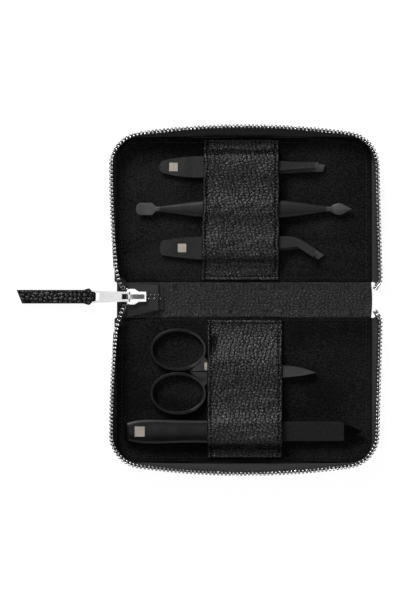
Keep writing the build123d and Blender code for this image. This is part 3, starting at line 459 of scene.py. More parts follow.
# %% Sky and lamps
sky_overhead = 1.65                  # a white ceiling above the table
sky_around = 0.09                    # the darker room round it
sky_lean = (-0.10, 0.12, 0.988)      # towards the ceiling's brightest place
world = bpy.data.worlds.new("sky")
world.use_nodes = True
sky_tree = world.node_tree
sky_place = put(sky_tree, "VectorMath", {"operation": "DOT_PRODUCT"})
connect(sky_tree, sky_place.inputs[0], put(sky_tree, "TexCoord").outputs["Generated"])
sky_place.inputs[1].default_value = sky_lean
sky_light = spread(sky_tree, sky_place.outputs["Value"], 0.945, 0.995, sky_around, sky_overhead)
sky_tree.nodes["Background"].inputs["Color"].default_value = grey(1.0)
sky_tree.links.new(sky_light, sky_tree.nodes["Background"].inputs["Strength"])
bpy.context.scene.world = world
bpy.context.scene.view_settings.view_transform = "Standard"


def add_lamp(name, place, size, share):
    """A square area lamp aimed at the case. share is how bright it makes a white surface facing it."""
    data = bpy.data.lights.new(name, "AREA")
    data.shape = "RECTANGLE"
    data.size, data.size_y = size
    away = Vector(place)
    data.energy = share * pi * pi * away.length_squared
    lamp = bpy.data.objects.new(name, data)
    lamp.location = away
    lamp.rotation_mode = "QUATERNION"
    lamp.rotation_quaternion = away.to_track_quat("Z", "Y")
    bpy.context.scene.collection.objects.link(lamp)


add_lamp("key_lamp", (-0.6, 1.1, 0.85), (0.9, 0.5), 0.8)
add_lamp("edge_lamp", (0.1, -1.2, 0.6), (1.6, 0.16), 0.2)
print("sky", sky_around, "to", sky_overhead, "and", len(bpy.data.lights), "lamps")

# %% [markdown]
# ## Building meshes in code
# Soft pieces are made as grids of points: rows along the piece, and columns across or round it. All
# helpers take millimetres in the frame's axes. A grid whose columns close on themselves is a tube, and
# its two ends get caps, so every piece is a closed shape and its faces can be turned outwards.

# %% Mesh helpers
def new_piece(name, points, faces, material, uv=None, sharp=40):
    """A finished mesh object from points in millimetres. uv holds one pair for each face corner."""
    mesh = bpy.data.meshes.new(name)
    mesh.from_pydata([tuple(p) for p in np.asarray(points, float) * MM], [], faces)
    if uv is not None:
        layer = mesh.uv_layers.new(name="UVMap")
        layer.data.foreach_set("uv", np.asarray(uv, np.float32).ravel())
    turned = bmesh.new()
    turned.from_mesh(mesh)
    bmesh.ops.recalc_face_normals(turned, faces=turned.faces)
    turned.to_mesh(mesh)
    turned.free()
    mesh.materials.append(materials[material])
    mesh.shade_smooth()
    mesh.set_sharp_from_angle(angle=radians(sharp))
    made = bpy.data.objects.new(name, mesh)
    bpy.context.scene.collection.objects.link(made)
    return made


def grid(name, points, material, loop=False, uv=None, sharp=40, crease_shade=None):
    """A piece from an array of rows x columns x 3. A loop closes each row on itself and caps the ends.
    The last argument says, for each point, how far it lies down in a crease, to be painted darker as shade."""
    rows, columns = points.shape[:2]
    wide = columns if loop else columns - 1
    number = np.arange(rows * columns).reshape(rows, columns)
    after = np.roll(number, -1, axis=1)
    quads = np.stack([number[:-1, :wide], after[:-1, :wide], after[1:, :wide], number[1:, :wide]], axis=-1)
    faces = [tuple(q) for q in quads.reshape(-1, 4).tolist()]
    corners = None
    if uv is not None:
        lower, upper = uv[:-1], uv[1:]
        corners = np.stack([lower[:, :wide], lower[:, 1:wide + 1], upper[:, 1:wide + 1], upper[:, :wide]], axis=2)
        corners = corners.reshape(-1, 2).tolist()
    if loop:
        for end, row in ((number[0], 0), (number[-1], -1)):
            faces.append(tuple(end.tolist()))
            if uv is not None:
                corners += uv[row, :columns].tolist()
    piece = new_piece(name, points.reshape(-1, 3), faces, material, corners, sharp)
    if crease_shade is not None:
        values = piece.data.attributes.new("crease_shade", "FLOAT", "POINT").data
        values.foreach_set("value", np.asarray(crease_shade, np.float32).ravel())
    return piece


def box_mm(node):
    low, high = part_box(node)
    return np.array(low) / MM, np.array(high) / MM


def unit(vectors):
    return vectors / np.linalg.norm(vectors, axis=-1, keepdims=True)


def ease(t):
    t = np.clip(t, 0, 1)
    return t * t * (3 - 2 * t)


def ripple(x, y, length, seed):
    """Gentle unevenness between about -1 and 1, with waves about length long."""
    chance = np.random.default_rng(seed)
    total = 0
    for _ in range(7):
        turn = chance.uniform(0, 2 * pi)
        rate = 2 * pi / (length * chance.uniform(0.7, 1.5))
        total = total + np.sin((x * cos(turn) + y * sin(turn)) * rate + chance.uniform(0, 2 * pi))
    return total / 3.5


def pebbles(x, y, size, seed):
    """Height of pebbled leather, 0 in the creases and 1 on top, from scattered cell centres."""
    x, y = x / (size * 1.2), y / size
    x = x + 0.07 * ripple(x, y, 2.6, seed)
    y = y + 0.07 * ripple(x, y, 2.6, seed + 1)
    nearest = np.full(x.shape, 9.0)
    second = nearest.copy()
    for step_x in (-1, 0, 1):
        for step_y in (-1, 0, 1):
            cell_x, cell_y = np.floor(x) + step_x, np.floor(y) + step_y
            mix = cell_x * 127.1 + cell_y * 311.7 + seed
            spot_x = cell_x + 0.1 + 0.8 * ((np.sin(mix) * 43758.5) % 1)
            spot_y = cell_y + 0.1 + 0.8 * ((np.sin(mix + 17.3) * 24634.6) % 1)
            away = np.hypot(spot_x - x, spot_y - y)
            second = np.minimum(second, np.maximum(nearest, away))
            nearest = np.minimum(nearest, away)
    return 1 - (1 - np.clip((second - nearest) / 0.75, 0, 1)) ** 2


# %% [markdown]
# ## Panels: cover leather, suede lining and spine
# A half's leather, its suede and the spine's leather are all flat sheets with a soft edge. A row of
# the grid runs from the left edge to the right one, and rows crowd together at the corners and at the
# fold. The cover is one skin on the real case. It is made in two pieces that meet in the middle of
# the spine.

# %% Panel sizes from the frame
lining_low, lining_high = box_mm("upper_lining")
cover_low, cover_high = box_mm("upper_cover")
spine_low, spine_high = box_mm("spine_lining")
half_length = lining_high[0]
fold = 9.7
front = lining_high[1]
lining_top = lining_high[2]
panel_corner = 12.0
edge_steps = [0, 0.06, 0.2, 0.42, 0.7, 1.2, 2.2, 4]


def crowded(low, high, step, edge_low=True, edge_high=True):
    """Places from low to high, close together at the chosen ends."""
    inner_low = low + edge_steps[-1] if edge_low else low
    inner_high = high - edge_steps[-1] if edge_high else high
    places = list(np.linspace(inner_low, inner_high, max(2, round((inner_high - inner_low) / step) + 1)))
    before = [low + s for s in edge_steps[:-1]] if edge_low else []
    behind = [high - s for s in reversed(edge_steps[:-1])] if edge_high else []
    return np.array(before + places + behind)


def soft_slab(name, left, right, rows, bottom, top, round_off, material, rise=None, step=1.5, grain=None):
    """A slab with its top edge rounded off. left and right give the two edges at each row's y. grain is
    the pebbles' size, depth and seed."""
    places_y = np.asarray(rows)
    count = 1 + int(2 * half_length / step)
    middle = crowded(-half_length, half_length, 2 * half_length / count) / half_length
    x = (left(places_y)[:, None] * (1 - middle) + right(places_y)[:, None] * (1 + middle)) / 2
    y = np.repeat(places_y[:, None], len(middle), axis=1)
    from_side = np.minimum(x - left(places_y)[:, None], right(places_y)[:, None] - x)
    ends = np.minimum(places_y - places_y[0], places_y[-1] - places_y)
    inside = np.clip(np.minimum(from_side, ends[:, None]), 0, round_off)
    drop = round_off - np.sqrt(round_off ** 2 - (round_off - inside) ** 2)
    z = top - drop
    if rise is not None:
        z = z + rise(x, y) * ease(from_side / 3) * ease(ends / 3)[:, None]
    crease_shade = np.zeros_like(x)
    if grain is not None:
        size, depth, seed = grain
        cushions = pebbles(x, y, size, seed)
        z = z + depth * cushions * ease(from_side / 1.5) * ease(ends / 1.5)[:, None]
        # Painted shade: points low between the pebbles are marked to be painted darker.
        crease_shade = 0.7 * np.clip(1.2 - 1.8 * cushions, 0, 1)
    upper = np.stack([x, y, z], axis=-1)
    lower = upper[:, ::-1].copy()
    lower[..., 2] = bottom + (top - z).clip(0, 0.5) * 0.6
    return grid(name, np.concatenate([upper, lower], axis=1), material, loop=True,
                crease_shade=np.concatenate([crease_shade, 0 * crease_shade], axis=1))


# %% Suede linings
def side_edge(y, near_half, corner, far):
    """Half the width of a panel at y, with its two far corners rounded."""
    into = np.clip(np.abs(y) - (far - corner), 0, corner)
    return near_half - corner + np.sqrt(corner ** 2 - into ** 2)


def corner_rows(near, far, corner, step):
    """Rows from the fold to the far edge, spaced evenly in angle round the corners."""
    straight = crowded(near, far - corner, step, edge_high=False)
    turn = np.sin(np.linspace(0, pi / 2, 15))[1:] * corner
    return np.concatenate([straight, far - corner + turn])


def make_lining(half, sign, seed):
    rows = corner_rows(fold + 0.1, front, panel_corner, 1.6)
    rows = rows if sign > 0 else -rows[::-1]
    piece = soft_slab(
        half + "_suede", lambda y: -side_edge(y, half_length, panel_corner, front),
        lambda y: side_edge(y, half_length, panel_corner, front), rows, lining_low[2], lining_top, 0.5,
        "suede", lambda x, y: -0.10 + 0.10 * ripple(x, y, 26, seed))
    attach(piece, half + "_half")
    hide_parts(half + "_lining")
    return piece


upper_suede = make_lining("upper", 1, 5)
lower_suede = make_lining("lower", -1, 8)
print("suede:", len(upper_suede.data.polygons), "faces a half")

# %% Spine leather and cover leather
spine_bulge = spine_high[0] + spine_low[0]


def spine_right(y):
    return half_length + spine_bulge * (1 - (np.clip(np.abs(y), 0, fold) / fold) ** 2)


def cover_edges(y):
    """How far out the cover's side is at y: the spine's edge, then the panel's past the fold."""
    out = side_edge(y, cover_high[0], panel_corner + cover_high[0] - half_length, cover_high[1])
    share = ease((np.abs(y) - fold + 0.5) / 1.0)
    return out, share


def cover_left(y):
    out, share = cover_edges(y)
    return -(half_length * (1 - share) + out * share)


def cover_right(y):
    out, share = cover_edges(y)
    return spine_right(y) * (1 - share) + out * share


def make_cover(half, sign):
    corner = panel_corner + cover_high[0] - half_length
    across_fold = np.arange(0, 2 * fold, 0.45)
    rows = np.concatenate([across_fold, corner_rows(2 * fold + 0.5, cover_high[1], corner, 2.0)[7:]])
    rows = rows if sign > 0 else -rows[::-1]
    count = len(rows)
    left, right = cover_left(rows), cover_right(rows)
    middle = crowded(-1.0 * half_length, half_length, 2.2) / half_length
    x = (left[:, None] * (1 - middle) + right[:, None] * (1 + middle)) / 2
    y = np.repeat(rows[:, None], len(middle), axis=1)
    from_side = np.minimum(x - left[:, None], right[:, None] - x)
    from_end = np.abs(sign * cover_high[1] - rows)[:, None] * np.ones_like(x)
    round_off = 0.55
    inside = np.clip(np.minimum(from_side, from_end), 0, round_off)
    drop = round_off - np.sqrt(round_off ** 2 - (round_off - inside) ** 2)
    thick = cover_high[2]
    upper = np.stack([x, y, thick - drop], axis=-1)
    lower = np.stack([x, y, drop], axis=-1)[:, ::-1]
    piece = grid(half + "_cover_leather", np.concatenate([upper, lower], axis=1), "cover_leather", loop=True)
    if sign > 0:
        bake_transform(piece)
    else:
        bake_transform(piece)
    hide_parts(half + "_cover", "spine_cover")
    print(piece.name, count, "rows")


make_cover("upper", 1)
make_cover("lower", -1)
spine_piece = soft_slab(
    "spine_inner_leather", lambda y: np.full(len(y), -half_length), spine_right,
    crowded(spine_low[1], spine_high[1], 0.36), spine_low[2], spine_high[2], 0.4, "spine_leather",
    lambda x, y: 0.10 * ripple(x, y, 14, 3) - 0.25, step=0.36, grain=(1.75, 0.26, 52))
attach(spine_piece, "spine")
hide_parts("spine_lining")

# %% [markdown]
# ## Zipper tape
# On each half the tape stands up from the edge and leans outwards, most at the middle of the front.
# Its foot follows the panel's edge and its top follows a wider line, so the wall is the ruled surface
# between two rims. Both rims are made of the same six arcs and lines as the construction's.

# %% Rims
tape_bottom = cover_high[2]
tape_top = 11.95
tape_thick = 0.7
tape_ease = 0.1
free_end = 6.5
curl_length = 7.0
left_end = 18.0
side_flare, near_flare, tip_inset, left_flare = 2.8, 4.4, 2.3, 0.4
left_bulge, corner_flare, row_corner, bow_angle = 0.6, 1.9, 17.0, 7.8


def through(a, b, c, shares):
    """Points at shares of the arc from a through b to c, or of the line where they don't turn."""
    a, b, c = (np.array(p, float) for p in (a, b, c))
    shares = np.asarray(shares)
    turn = (b - a)[0] * (c - b)[1] - (b - a)[1] * (c - b)[0]
    if abs(turn) < 1e-6:
        return a + shares[:, None] * (c - a)
    middle = np.linalg.solve(np.array([b - a, c - a]), np.array([b @ b - a @ a, c @ c - a @ a]) / 2)
    start = atan2(*(a - middle)[::-1])
    sweep = (atan2(*(c - middle)[::-1]) - start) % (2 * pi)
    sweep = sweep if turn > 0 else sweep - 2 * pi
    angle = start + sweep * shares
    return middle + np.linalg.norm(a - middle) * np.stack([np.cos(angle), np.sin(angle)], axis=-1)


def rim(side, near, tip, left, bulge, far, corner, bow):
    """The six stretches of one rim, each as the three points of an arc, from the right end to the left."""
    middle_y = far - corner
    centre_x = side - corner
    lean = radians(bow)
    half_lean = lean + (radians(90) - lean) / 2
    corner_end = (centre_x + corner * sin(lean), middle_y + corner * cos(lean))
    corner_mid = (centre_x + corner * sin(half_lean), middle_y + corner * cos(half_lean))
    crest = (0, corner_end[1] + corner_end[0] * tan(lean / 2))
    curl_end = free_end + curl_length
    curl_mid = (tip + 0.78 * (near - tip), free_end + 0.4 * curl_length)
    low, high = (near, curl_end), (side, middle_y)

    def flip(point):
        return (-point[0], point[1])

    return [
        ((tip, free_end), curl_mid, low),
        (low, ((near + side) / 2, (curl_end + middle_y) / 2), high),
        (high, corner_mid, corner_end),
        (corner_end, crest, flip(corner_end)),
        (flip(corner_end), flip(corner_mid), flip(high)),
        (flip(high), (-(side + left) / 2 - bulge, (middle_y + left_end) / 2), (-left, left_end)),
    ]


foot_edge = half_length + tape_ease + tape_thick / 2
foot_rim = rim(foot_edge, foot_edge, foot_edge, foot_edge, 0, front + tape_ease + tape_thick / 2, panel_corner, 0)
near_x = half_length + near_flare
top_rim = rim(half_length + side_flare, near_x, near_x - tip_inset, half_length + left_flare, left_bulge,
              front + corner_flare, row_corner, bow_angle)


def ruled_lines(step):
    """Matching points of the foot and the top rim, and the length along the top rim."""
    feet, tops = [], []
    for foot, top in zip(foot_rim, top_rim):
        rough = through(*top, np.linspace(0, 1, 9))
        length = np.linalg.norm(np.diff(rough, axis=0), axis=1).sum()
        shares = np.linspace(0, 1, max(3, round(length / step)), endpoint=False)
        feet.append(through(*foot, shares))
        tops.append(through(*top, shares))
    feet.append(np.array([foot_rim[-1][2]], float))
    tops.append(np.array([top_rim[-1][2]], float))
    feet, tops = np.concatenate(feet), np.concatenate(tops)
    along = np.concatenate([[0], np.cumsum(np.linalg.norm(np.diff(tops, axis=0), axis=1))])
    feet = np.column_stack([feet, np.full(len(feet), tape_bottom)])
    tops = np.column_stack([tops, np.full(len(tops), tape_top)])
    return feet, tops, along


feet, tops, along = ruled_lines(1.0)
print("row of teeth:", round(along[-1], 1), "mm long")

# %% Tape walls
bead_width = 1.05                    # the cord woven into the tape's edge, under the teeth
free_end_rise = 4.1                  # the free right end hangs clear of the spine below this height


def make_wall(half, sign):
    """The tape's wall: outer face up, round the beaded edge, and down the inner face."""
    heights = np.array([0, 0.08, 0.2, 0.35, 0.5, 0.65, 0.8, 0.9, 0.95])
    swell = np.array([1, 1, 1, 1, 1, 1, 1, 1.15, 1.4])
    bead = [(0.985, 1.5), (1.0, 0.9)]
    share = np.concatenate([heights, [h for h, _ in bead], [h for h, _ in reversed(bead)], heights[::-1]])
    side = np.concatenate([swell, [s for _, s in bead], [-s for _, s in reversed(bead)], -swell[::-1]])
    travel = np.gradient(tops[:, :2], axis=0)
    out = unit(np.stack([travel[:, 1], -travel[:, 0]], axis=-1))
    low = np.zeros(len(feet))
    hangs = feet[:, 1] < fold + 0.2
    low[hangs] = (lining_top + free_end_rise - tape_bottom) / (tape_top - tape_bottom)
    level = low[:, None] + (1 - low[:, None]) * share
    points = feet[:, None, :] * (1 - level[..., None]) + tops[:, None, :] * level[..., None]
    wave = 0.16 * ripple(along, 0 * along, 11, 4)[:, None] * np.sin(level * pi)
    belly = 1.1 * ease((along - along[-1] + 26) / 18)[:, None] * np.sin(level * pi) ** 0.7
    points[..., :2] += out[:, None, :] * (side * tape_thick / 2 + wave + belly)[..., None]
    uv = np.stack([np.repeat(along[:, None], len(share) + 1, axis=1),
                   np.concatenate([level, level[:, :1]], axis=1) * (tape_top - tape_bottom)], axis=-1) * MM
    points[..., 1] *= sign
    piece = grid(half + "_tape_wall", points, "zipper_tape", loop=True, uv=uv)
    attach(piece, half + "_half")
    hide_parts(half + "_zipper_tape")
    return piece


make_wall("upper", 1)
make_wall("lower", -1)


def make_foot(half, sign):
    """The tape's foot: a strip sewn in between the cover and the suede, seen only at the edge."""
    rows = corner_rows(fold + 0.1, front + 0.3, panel_corner + 0.3, 3.0)
    far = front + 0.3
    right = side_edge(rows, half_length + 0.3, panel_corner + 0.3, far)
    outer = np.concatenate([np.stack([right, rows], -1), np.stack([-right, rows], -1)[::-1]])
    inner = outer * np.array([1 - 4.5 / half_length, 1]) - np.array([0, 1]) * ease((outer[:, 1:] - front + 14) / 14) * 4.5
    z_low, z_high = tape_bottom + 0.02, lining_low[2] - 0.02
    loop = [np.column_stack([ring, np.full(len(ring), z)]) for ring, z in
            ((outer, z_low), (outer, z_high), (inner, z_high), (inner, z_low))]
    points = np.stack(loop, axis=1)
    points[..., 1] *= sign
    run = np.arange(len(points))[:, None] * 3.0 * MM
    uv = np.stack([np.repeat(run, 5, axis=1), np.repeat(np.arange(5)[None] * MM, len(points), axis=0)], axis=-1)
    piece = grid(half + "_tape_foot", points, "zipper_tape", loop=True, uv=uv)
    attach(piece, half + "_half")
    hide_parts(half + "_zipper_tape")


make_foot("upper", 1)
make_foot("lower", -1)

# %% [markdown]
# ## Rows of teeth and stitches
# A zipper is one small tooth repeated along a line, and a seam is one stitch repeated along a line.
# Geometry Nodes do both: the tree walks along a guide line, puts a copy at every pitch, and stands it
# up along the direction that the guide carries. The result is turned into a plain mesh.

# %% Row-of-copies node tree
def make_row_tree():
    tree = bpy.data.node_groups.new("copies_in_a_row", "GeometryNodeTree")
    for label, kind in (("Geometry", "NodeSocketGeometry"), ("Copy", "NodeSocketObject"),
                        ("Pitch", "NodeSocketFloat"), ("Wobble", "NodeSocketFloat"),
                        ("Seed", "NodeSocketInt"), ("Material", "NodeSocketMaterial")):
        tree.interface.new_socket(label, in_out="INPUT", socket_type=kind)
    tree.interface.new_socket("Geometry", in_out="OUTPUT", socket_type="NodeSocketGeometry")
    given = tree.nodes.new("NodeGroupInput").outputs
    link = tree.links.new

    def step(kind, **settings):
        made = tree.nodes.new(kind)
        for key, value in settings.items():
            setattr(made, key, value)
        return made

    line = step("GeometryNodeMeshToCurve")
    link(given["Geometry"], line.inputs["Mesh"])
    spaced = step("GeometryNodeResampleCurve", mode="LENGTH")
    link(line.outputs[0], spaced.inputs["Curve"])
    link(given["Pitch"], spaced.inputs["Length"])
    up = step("GeometryNodeInputNamedAttribute", data_type="FLOAT_VECTOR")
    up.inputs["Name"].default_value = "up"
    tangent = step("GeometryNodeInputTangent")
    stand = step("FunctionNodeAxesToRotation", primary_axis="Z", secondary_axis="X")
    link(up.outputs["Attribute"], stand.inputs["Primary Axis"])
    link(tangent.outputs[0], stand.inputs["Secondary Axis"])
    chance = step("FunctionNodeRandomValue", data_type="FLOAT_VECTOR")
    least = step("ShaderNodeVectorMath", operation="SCALE")
    least.inputs[0].default_value = (-1, -1, -1)
    most = step("ShaderNodeVectorMath", operation="SCALE")
    most.inputs[0].default_value = (1, 1, 1)
    link(given["Wobble"], least.inputs["Scale"])
    link(given["Wobble"], most.inputs["Scale"])
    link(least.outputs[0], chance.inputs[0])
    link(most.outputs[0], chance.inputs[1])
    link(given["Seed"], chance.inputs["Seed"])
    wobble = step("FunctionNodeEulerToRotation")
    link(chance.outputs[0], wobble.inputs[0])
    turned = step("FunctionNodeRotateRotation", rotation_space="LOCAL")
    link(stand.outputs[0], turned.inputs[0])
    link(wobble.outputs[0], turned.inputs[1])
    copy = step("GeometryNodeObjectInfo")
    link(given["Copy"], copy.inputs["Object"])
    placed = step("GeometryNodeInstanceOnPoints")
    link(spaced.outputs[0], placed.inputs["Points"])
    link(copy.outputs["Geometry"], placed.inputs["Instance"])
    link(turned.outputs[0], placed.inputs["Rotation"])
    real = step("GeometryNodeRealizeInstances")
    link(placed.outputs[0], real.inputs[0])
    painted = step("GeometryNodeSetMaterial")
    link(real.outputs[0], painted.inputs["Geometry"])
    link(given["Material"], painted.inputs["Material"])
    link(painted.outputs[0], tree.nodes.new("NodeGroupOutput").inputs[0])
    return tree


row_tree = make_row_tree()


def copies_along(name, lines, model, pitch, material, wobble=0.0, seed=1):
    """A plain mesh of copies of model along guide lines, each (points, ups) in millimetres."""
    points, ups, edges = [], [], []
    for line, up in lines:
        first = len(points)
        points += [tuple(p * MM) for p in line]
        ups += [tuple(u) for u in unit(np.broadcast_to(up, line.shape).astype(float))]
        edges += [(first + n, first + n + 1) for n in range(len(line) - 1)]
    guide = bpy.data.meshes.new(name)
    guide.from_pydata(points, edges, [])
    guide.attributes.new("up", "FLOAT_VECTOR", "POINT").data.foreach_set("vector", np.array(ups, np.float32).ravel())
    maker = bpy.data.objects.new(name + "_guide", guide)
    bpy.context.scene.collection.objects.link(maker)
    modifier = maker.modifiers.new("row", "NODES")
    modifier.node_group = row_tree
    values = {"Copy": model, "Pitch": pitch * MM, "Wobble": wobble, "Seed": seed, "Material": materials[material]}
    for item in row_tree.interface.items_tree:
        if item.in_out == "INPUT" and item.name in values:
            modifier[item.identifier] = values[item.name]
    maker.update_tag()
    graph = bpy.context.evaluated_depsgraph_get()
    mesh = bpy.data.meshes.new_from_object(maker.evaluated_get(graph), preserve_all_data_layers=True, depsgraph=graph)
    bpy.data.objects.remove(maker)
    made = bpy.data.objects.new(name, mesh)
    bpy.context.scene.collection.objects.link(made)
    print(name, len(mesh.polygons), "faces")
    return made


def hidden_model(name, points, faces, bevel):
    """A small shape to be copied. It isn't part of the scene itself."""
    made = new_piece(name, points, faces, "zipper_metal", sharp=30)
    bpy.context.scene.collection.objects.unlink(made)
    shape = bmesh.new()
    shape.from_mesh(made.data)
    if bevel:
        bmesh.ops.bevel(shape, geom=list(shape.edges), offset=bevel * MM, segments=1, affect="EDGES", profile=0.6)
    shape.to_mesh(made.data)
    shape.free()
    made.data.shade_smooth()
    return made


# %% Tooth, end stop and stitch models
tooth_pitch = 2.07
tooth_depth = 2.3
tooth_head = 1.0
tooth_grip = 1.4
stop_width = 2.2
stop_head = 0.4


def clip_shape(name, width, head, bevel):
    """A U-shaped clip over the tape's edge: x along the row, y across the tape, z past the edge."""
    outer, inner = tooth_depth / 2, tape_thick / 2 + 0.2
    notch = min(0.2, head - 0.55)
    section = [(-outer, -tooth_grip), (-outer, head - 0.35), (-outer * 0.75, head), (-outer * 0.3, head),
               (0, head - 0.3), (outer * 0.3, head), (outer * 0.75, head), (outer, head - 0.35),
               (outer, -tooth_grip), (inner, -tooth_grip), (inner, notch), (-inner, notch), (-inner, -tooth_grip)]
    count = len(section)
    points = [(x, y, z) for x in (-width / 2, width / 2) for y, z in section]
    faces = [tuple(range(count)), tuple(range(2 * count - 1, count - 1, -1))]
    faces += [(n, (n + 1) % count, count + (n + 1) % count, count + n) for n in range(count)]
    return hidden_model(name, points, faces, bevel)


def stitch_shape(length, thick):
    """One stitch: a short thread that dips into its holes at both ends."""
    rings, sides = 5, 6
    points, faces = [], []
    for ring in range(rings):
        share = ring / (rings - 1)
        size = thick / 2 * (0.55 + 0.45 * sin(pi * share))
        for side in range(sides):
            turn = 2 * pi * side / sides
            height = size * sin(turn) + thick * (0.55 * sin(pi * share) - 0.25)
            points.append((length * (share - 0.5), size * cos(turn), height))
    for ring in range(rings - 1):
        for side in range(sides):
            after = (side + 1) % sides
            faces.append((ring * sides + side, ring * sides + after, (ring + 1) * sides + after, (ring + 1) * sides + side))
    faces += [tuple(range(sides)), tuple(range(rings * sides - 1, (rings - 1) * sides - 1, -1))]
    return hidden_model("stitch_%d" % round(length * 10), points, faces, 0)


tooth_model = clip_shape("tooth", 1.1, tooth_head, 0.13)
stop_model = clip_shape("stop", stop_width, stop_head, 0.15)
prong_model = clip_shape("prong", 0.5, -0.75, 0.08)
lining_stitch = stitch_shape(1.45, 0.42)
band_stitch = stitch_shape(1.15, 0.42)

# %% Teeth on the two walls
def on_row(distances):
    """Points on the top rim at distances along it, and the directions up the tape there."""
    spots = np.stack([np.interp(distances, along, tops[:, n]) for n in range(3)], axis=-1)
    ground = np.stack([np.interp(distances, along, feet[:, n]) for n in range(3)], axis=-1)
    return spots, spots - ground


def mirrored(pair, sign):
    return tuple(part * np.array([1, sign, 1]) for part in pair)


stop_room = stop_width + tooth_pitch / 2
row_count = int((along[-1] - stop_room) / tooth_pitch)
tooth_line = stop_room + (np.arange(0, row_count - 0.49, 0.5) + 0.5) * tooth_pitch
for half, sign in (("upper", 1), ("lower", -1)):
    teeth = copies_along(half + "_teeth_row", [mirrored(on_row(tooth_line), sign)], tooth_model,
                         tooth_pitch, "zipper_metal", wobble=0.05, seed=3)
    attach(teeth, half + "_half")
    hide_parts(half + "_zipper_teeth")
    stop_spots = on_row(np.array([0.1, stop_width / 2 + 0.1, stop_width + 0.1]))
    stop = copies_along(half + "_stop", [mirrored(stop_spots, sign)], stop_model, 9, "zipper_metal")
    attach(stop, half + "_half")
    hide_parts(half + "_end_stop")

# %% [markdown]
# ## Where the zipper turns into the slider
# At the left end each row leaves its upright wall, leans over the fold and lies flat in the slider.
# The tape twists as it goes. It is made through five places, each with the toothed edge's point, the
# direction down the tape and the tape's width there, and a smooth curve joins them.

# %% Turning tapes and their teeth
slider_middle = 1.8
tape_level = 6.25
slider_mouth = -63.1
slider_tail = slider_mouth + 10.3
turn_thick = 0.5


def smooth_path(stops, count):
    """A Catmull-Rom curve through rows of numbers."""
    stops = np.array(stops, float)
    padded = np.concatenate([[2 * stops[0] - stops[1]], stops, [2 * stops[-1] - stops[-2]]])
    places = np.linspace(0, len(stops) - 1, count)
    first = np.clip(places.astype(int), 0, len(stops) - 2)
    t = (places - first)[:, None]
    a, b, c, d = (padded[first + n] for n in range(4))
    return 0.5 * (2 * b + (c - a) * t + (2 * a - 5 * b + 4 * c - d) * t ** 2 + (3 * b - a - 3 * c + d) * t ** 3)


def turn_places(sign):
    """Rows of toothed edge x y z, direction down the tape x y z, and width."""
    left = -half_length - left_flare
    mouth_y = slider_middle + sign * 3.3
    return [
        (left, sign * (left_end - 0.3), tape_top, 0, 0, -1, 8.05),
        (left + 0.9, sign * 13.2, tape_top - 0.5, -0.06, sign * 0.12, -1, 7.15),
        (left + 2.1, sign * 9.8, tape_top - 1.9, -0.08, sign * 0.5, -0.86, 5.85),
        (left + 3.7, (mouth_y + sign * 7) / 2 + sign * 0.8, tape_level + 1.7, 0, sign * 0.9, -0.4, 5.0),
        (slider_mouth - 0.35, mouth_y, tape_level, 0, sign, 0, 4.6),
    ]


def make_turn(half, sign):
    places = smooth_path(turn_places(sign), 33)
    edge, down, width = places[:, :3], unit(places[:, 3:6]), places[:, 6:]
    travel = unit(np.gradient(edge, axis=0))
    face = unit(np.cross(travel, down))
    shares = np.concatenate([np.linspace(0, 1, 9), np.linspace(1, 0, 9)])
    sides = np.concatenate([np.full(9, 1.0), np.full(9, -1.0)]) * turn_thick / 2
    wave = 0.2 * np.sin(shares[None, :] * 5 + np.linspace(0, 6, 33)[:, None]) * shares[None, :]
    points = (edge[:, None] + down[:, None] * (width * shares)[..., None]
              + face[:, None] * (sides + wave)[..., None])
    run = np.linspace(0, np.linalg.norm(np.diff(edge, axis=0), axis=1).sum(), 33)
    uv = np.stack(np.broadcast_arrays(run[:, None], np.append(shares, 0)[None] * 7.0), axis=-1) * MM
    tape = grid(half + "_turning_tape", points, "zipper_tape", loop=True, uv=uv)
    rows = [(edge + down * -0.05, -down)]
    teeth = copies_along(half + "_turning_teeth", rows, tooth_model, tooth_pitch, "zipper_metal", wobble=0.1, seed=6)
    for piece, node, slot in ((tape, "_tape_turn", "zipper_tape"), (teeth, "_turn_teeth", "zipper_metal")):
        if sign > 0:
            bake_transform(piece)
        else:
            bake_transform(piece)
        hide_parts(half + node)


make_turn("upper", 1)
make_turn("lower", -1)

# %% Flat end of the tape, and the joined teeth
end_low, end_high = box_mm("zipper_end_tape")
slope_start = end_high[0] - 2.5
slope_end = end_high[0] - 1.5


def make_end_tape():
    """Both tapes side by side, from the slider to where they are sewn down, with a ragged cut edge."""
    x = np.concatenate([np.linspace(end_low[0], slope_start, 34), np.linspace(slope_start, slope_end, 5)[1:],
                        np.linspace(slope_end, end_high[0], 5)[1:]])
    across = np.linspace(-1, 1, 41)
    share = (x - end_low[0]) / (end_high[0] - end_low[0])
    chance = np.random.default_rng(12)
    ragged = chance.uniform(-0.16, 0.16, (len(x), 2))
    low_edge = -9.2 + 4.2 * share + ragged[:, 0]
    high_edge = 9.4 - 1.5 * share + ragged[:, 1]
    y = low_edge[:, None] + (high_edge - low_edge)[:, None] * (1 + across[None]) / 2
    level = np.interp(x, [slope_start, slope_end], [tape_level, lining_top + 0.4])[:, None]
    sag = 1.1 * ease((np.abs(y) - 4) / 5) * ease((slope_end - x) / 4)[:, None] + 0.08 * ripple(x[:, None], y, 5, 2)
    seam = 0.25 * np.exp(-((y - slider_middle) / 0.35) ** 2)
    z = level - sag - seam
    x_grid = np.repeat(x[:, None], len(across), axis=1)
    top = np.stack([x_grid, y, z + 0.3], axis=-1)
    under = np.stack([x_grid, y, z - 0.3], axis=-1)[:, ::-1]
    points = np.concatenate([top, under], axis=1)
    uv = points[..., :2] * MM
    uv = np.concatenate([uv, uv[:, :1]], axis=1)
    piece = grid("tape_end", points, "zipper_tape", loop=True, uv=uv)
    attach(piece, "spine")
    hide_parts("zipper_end_tape")


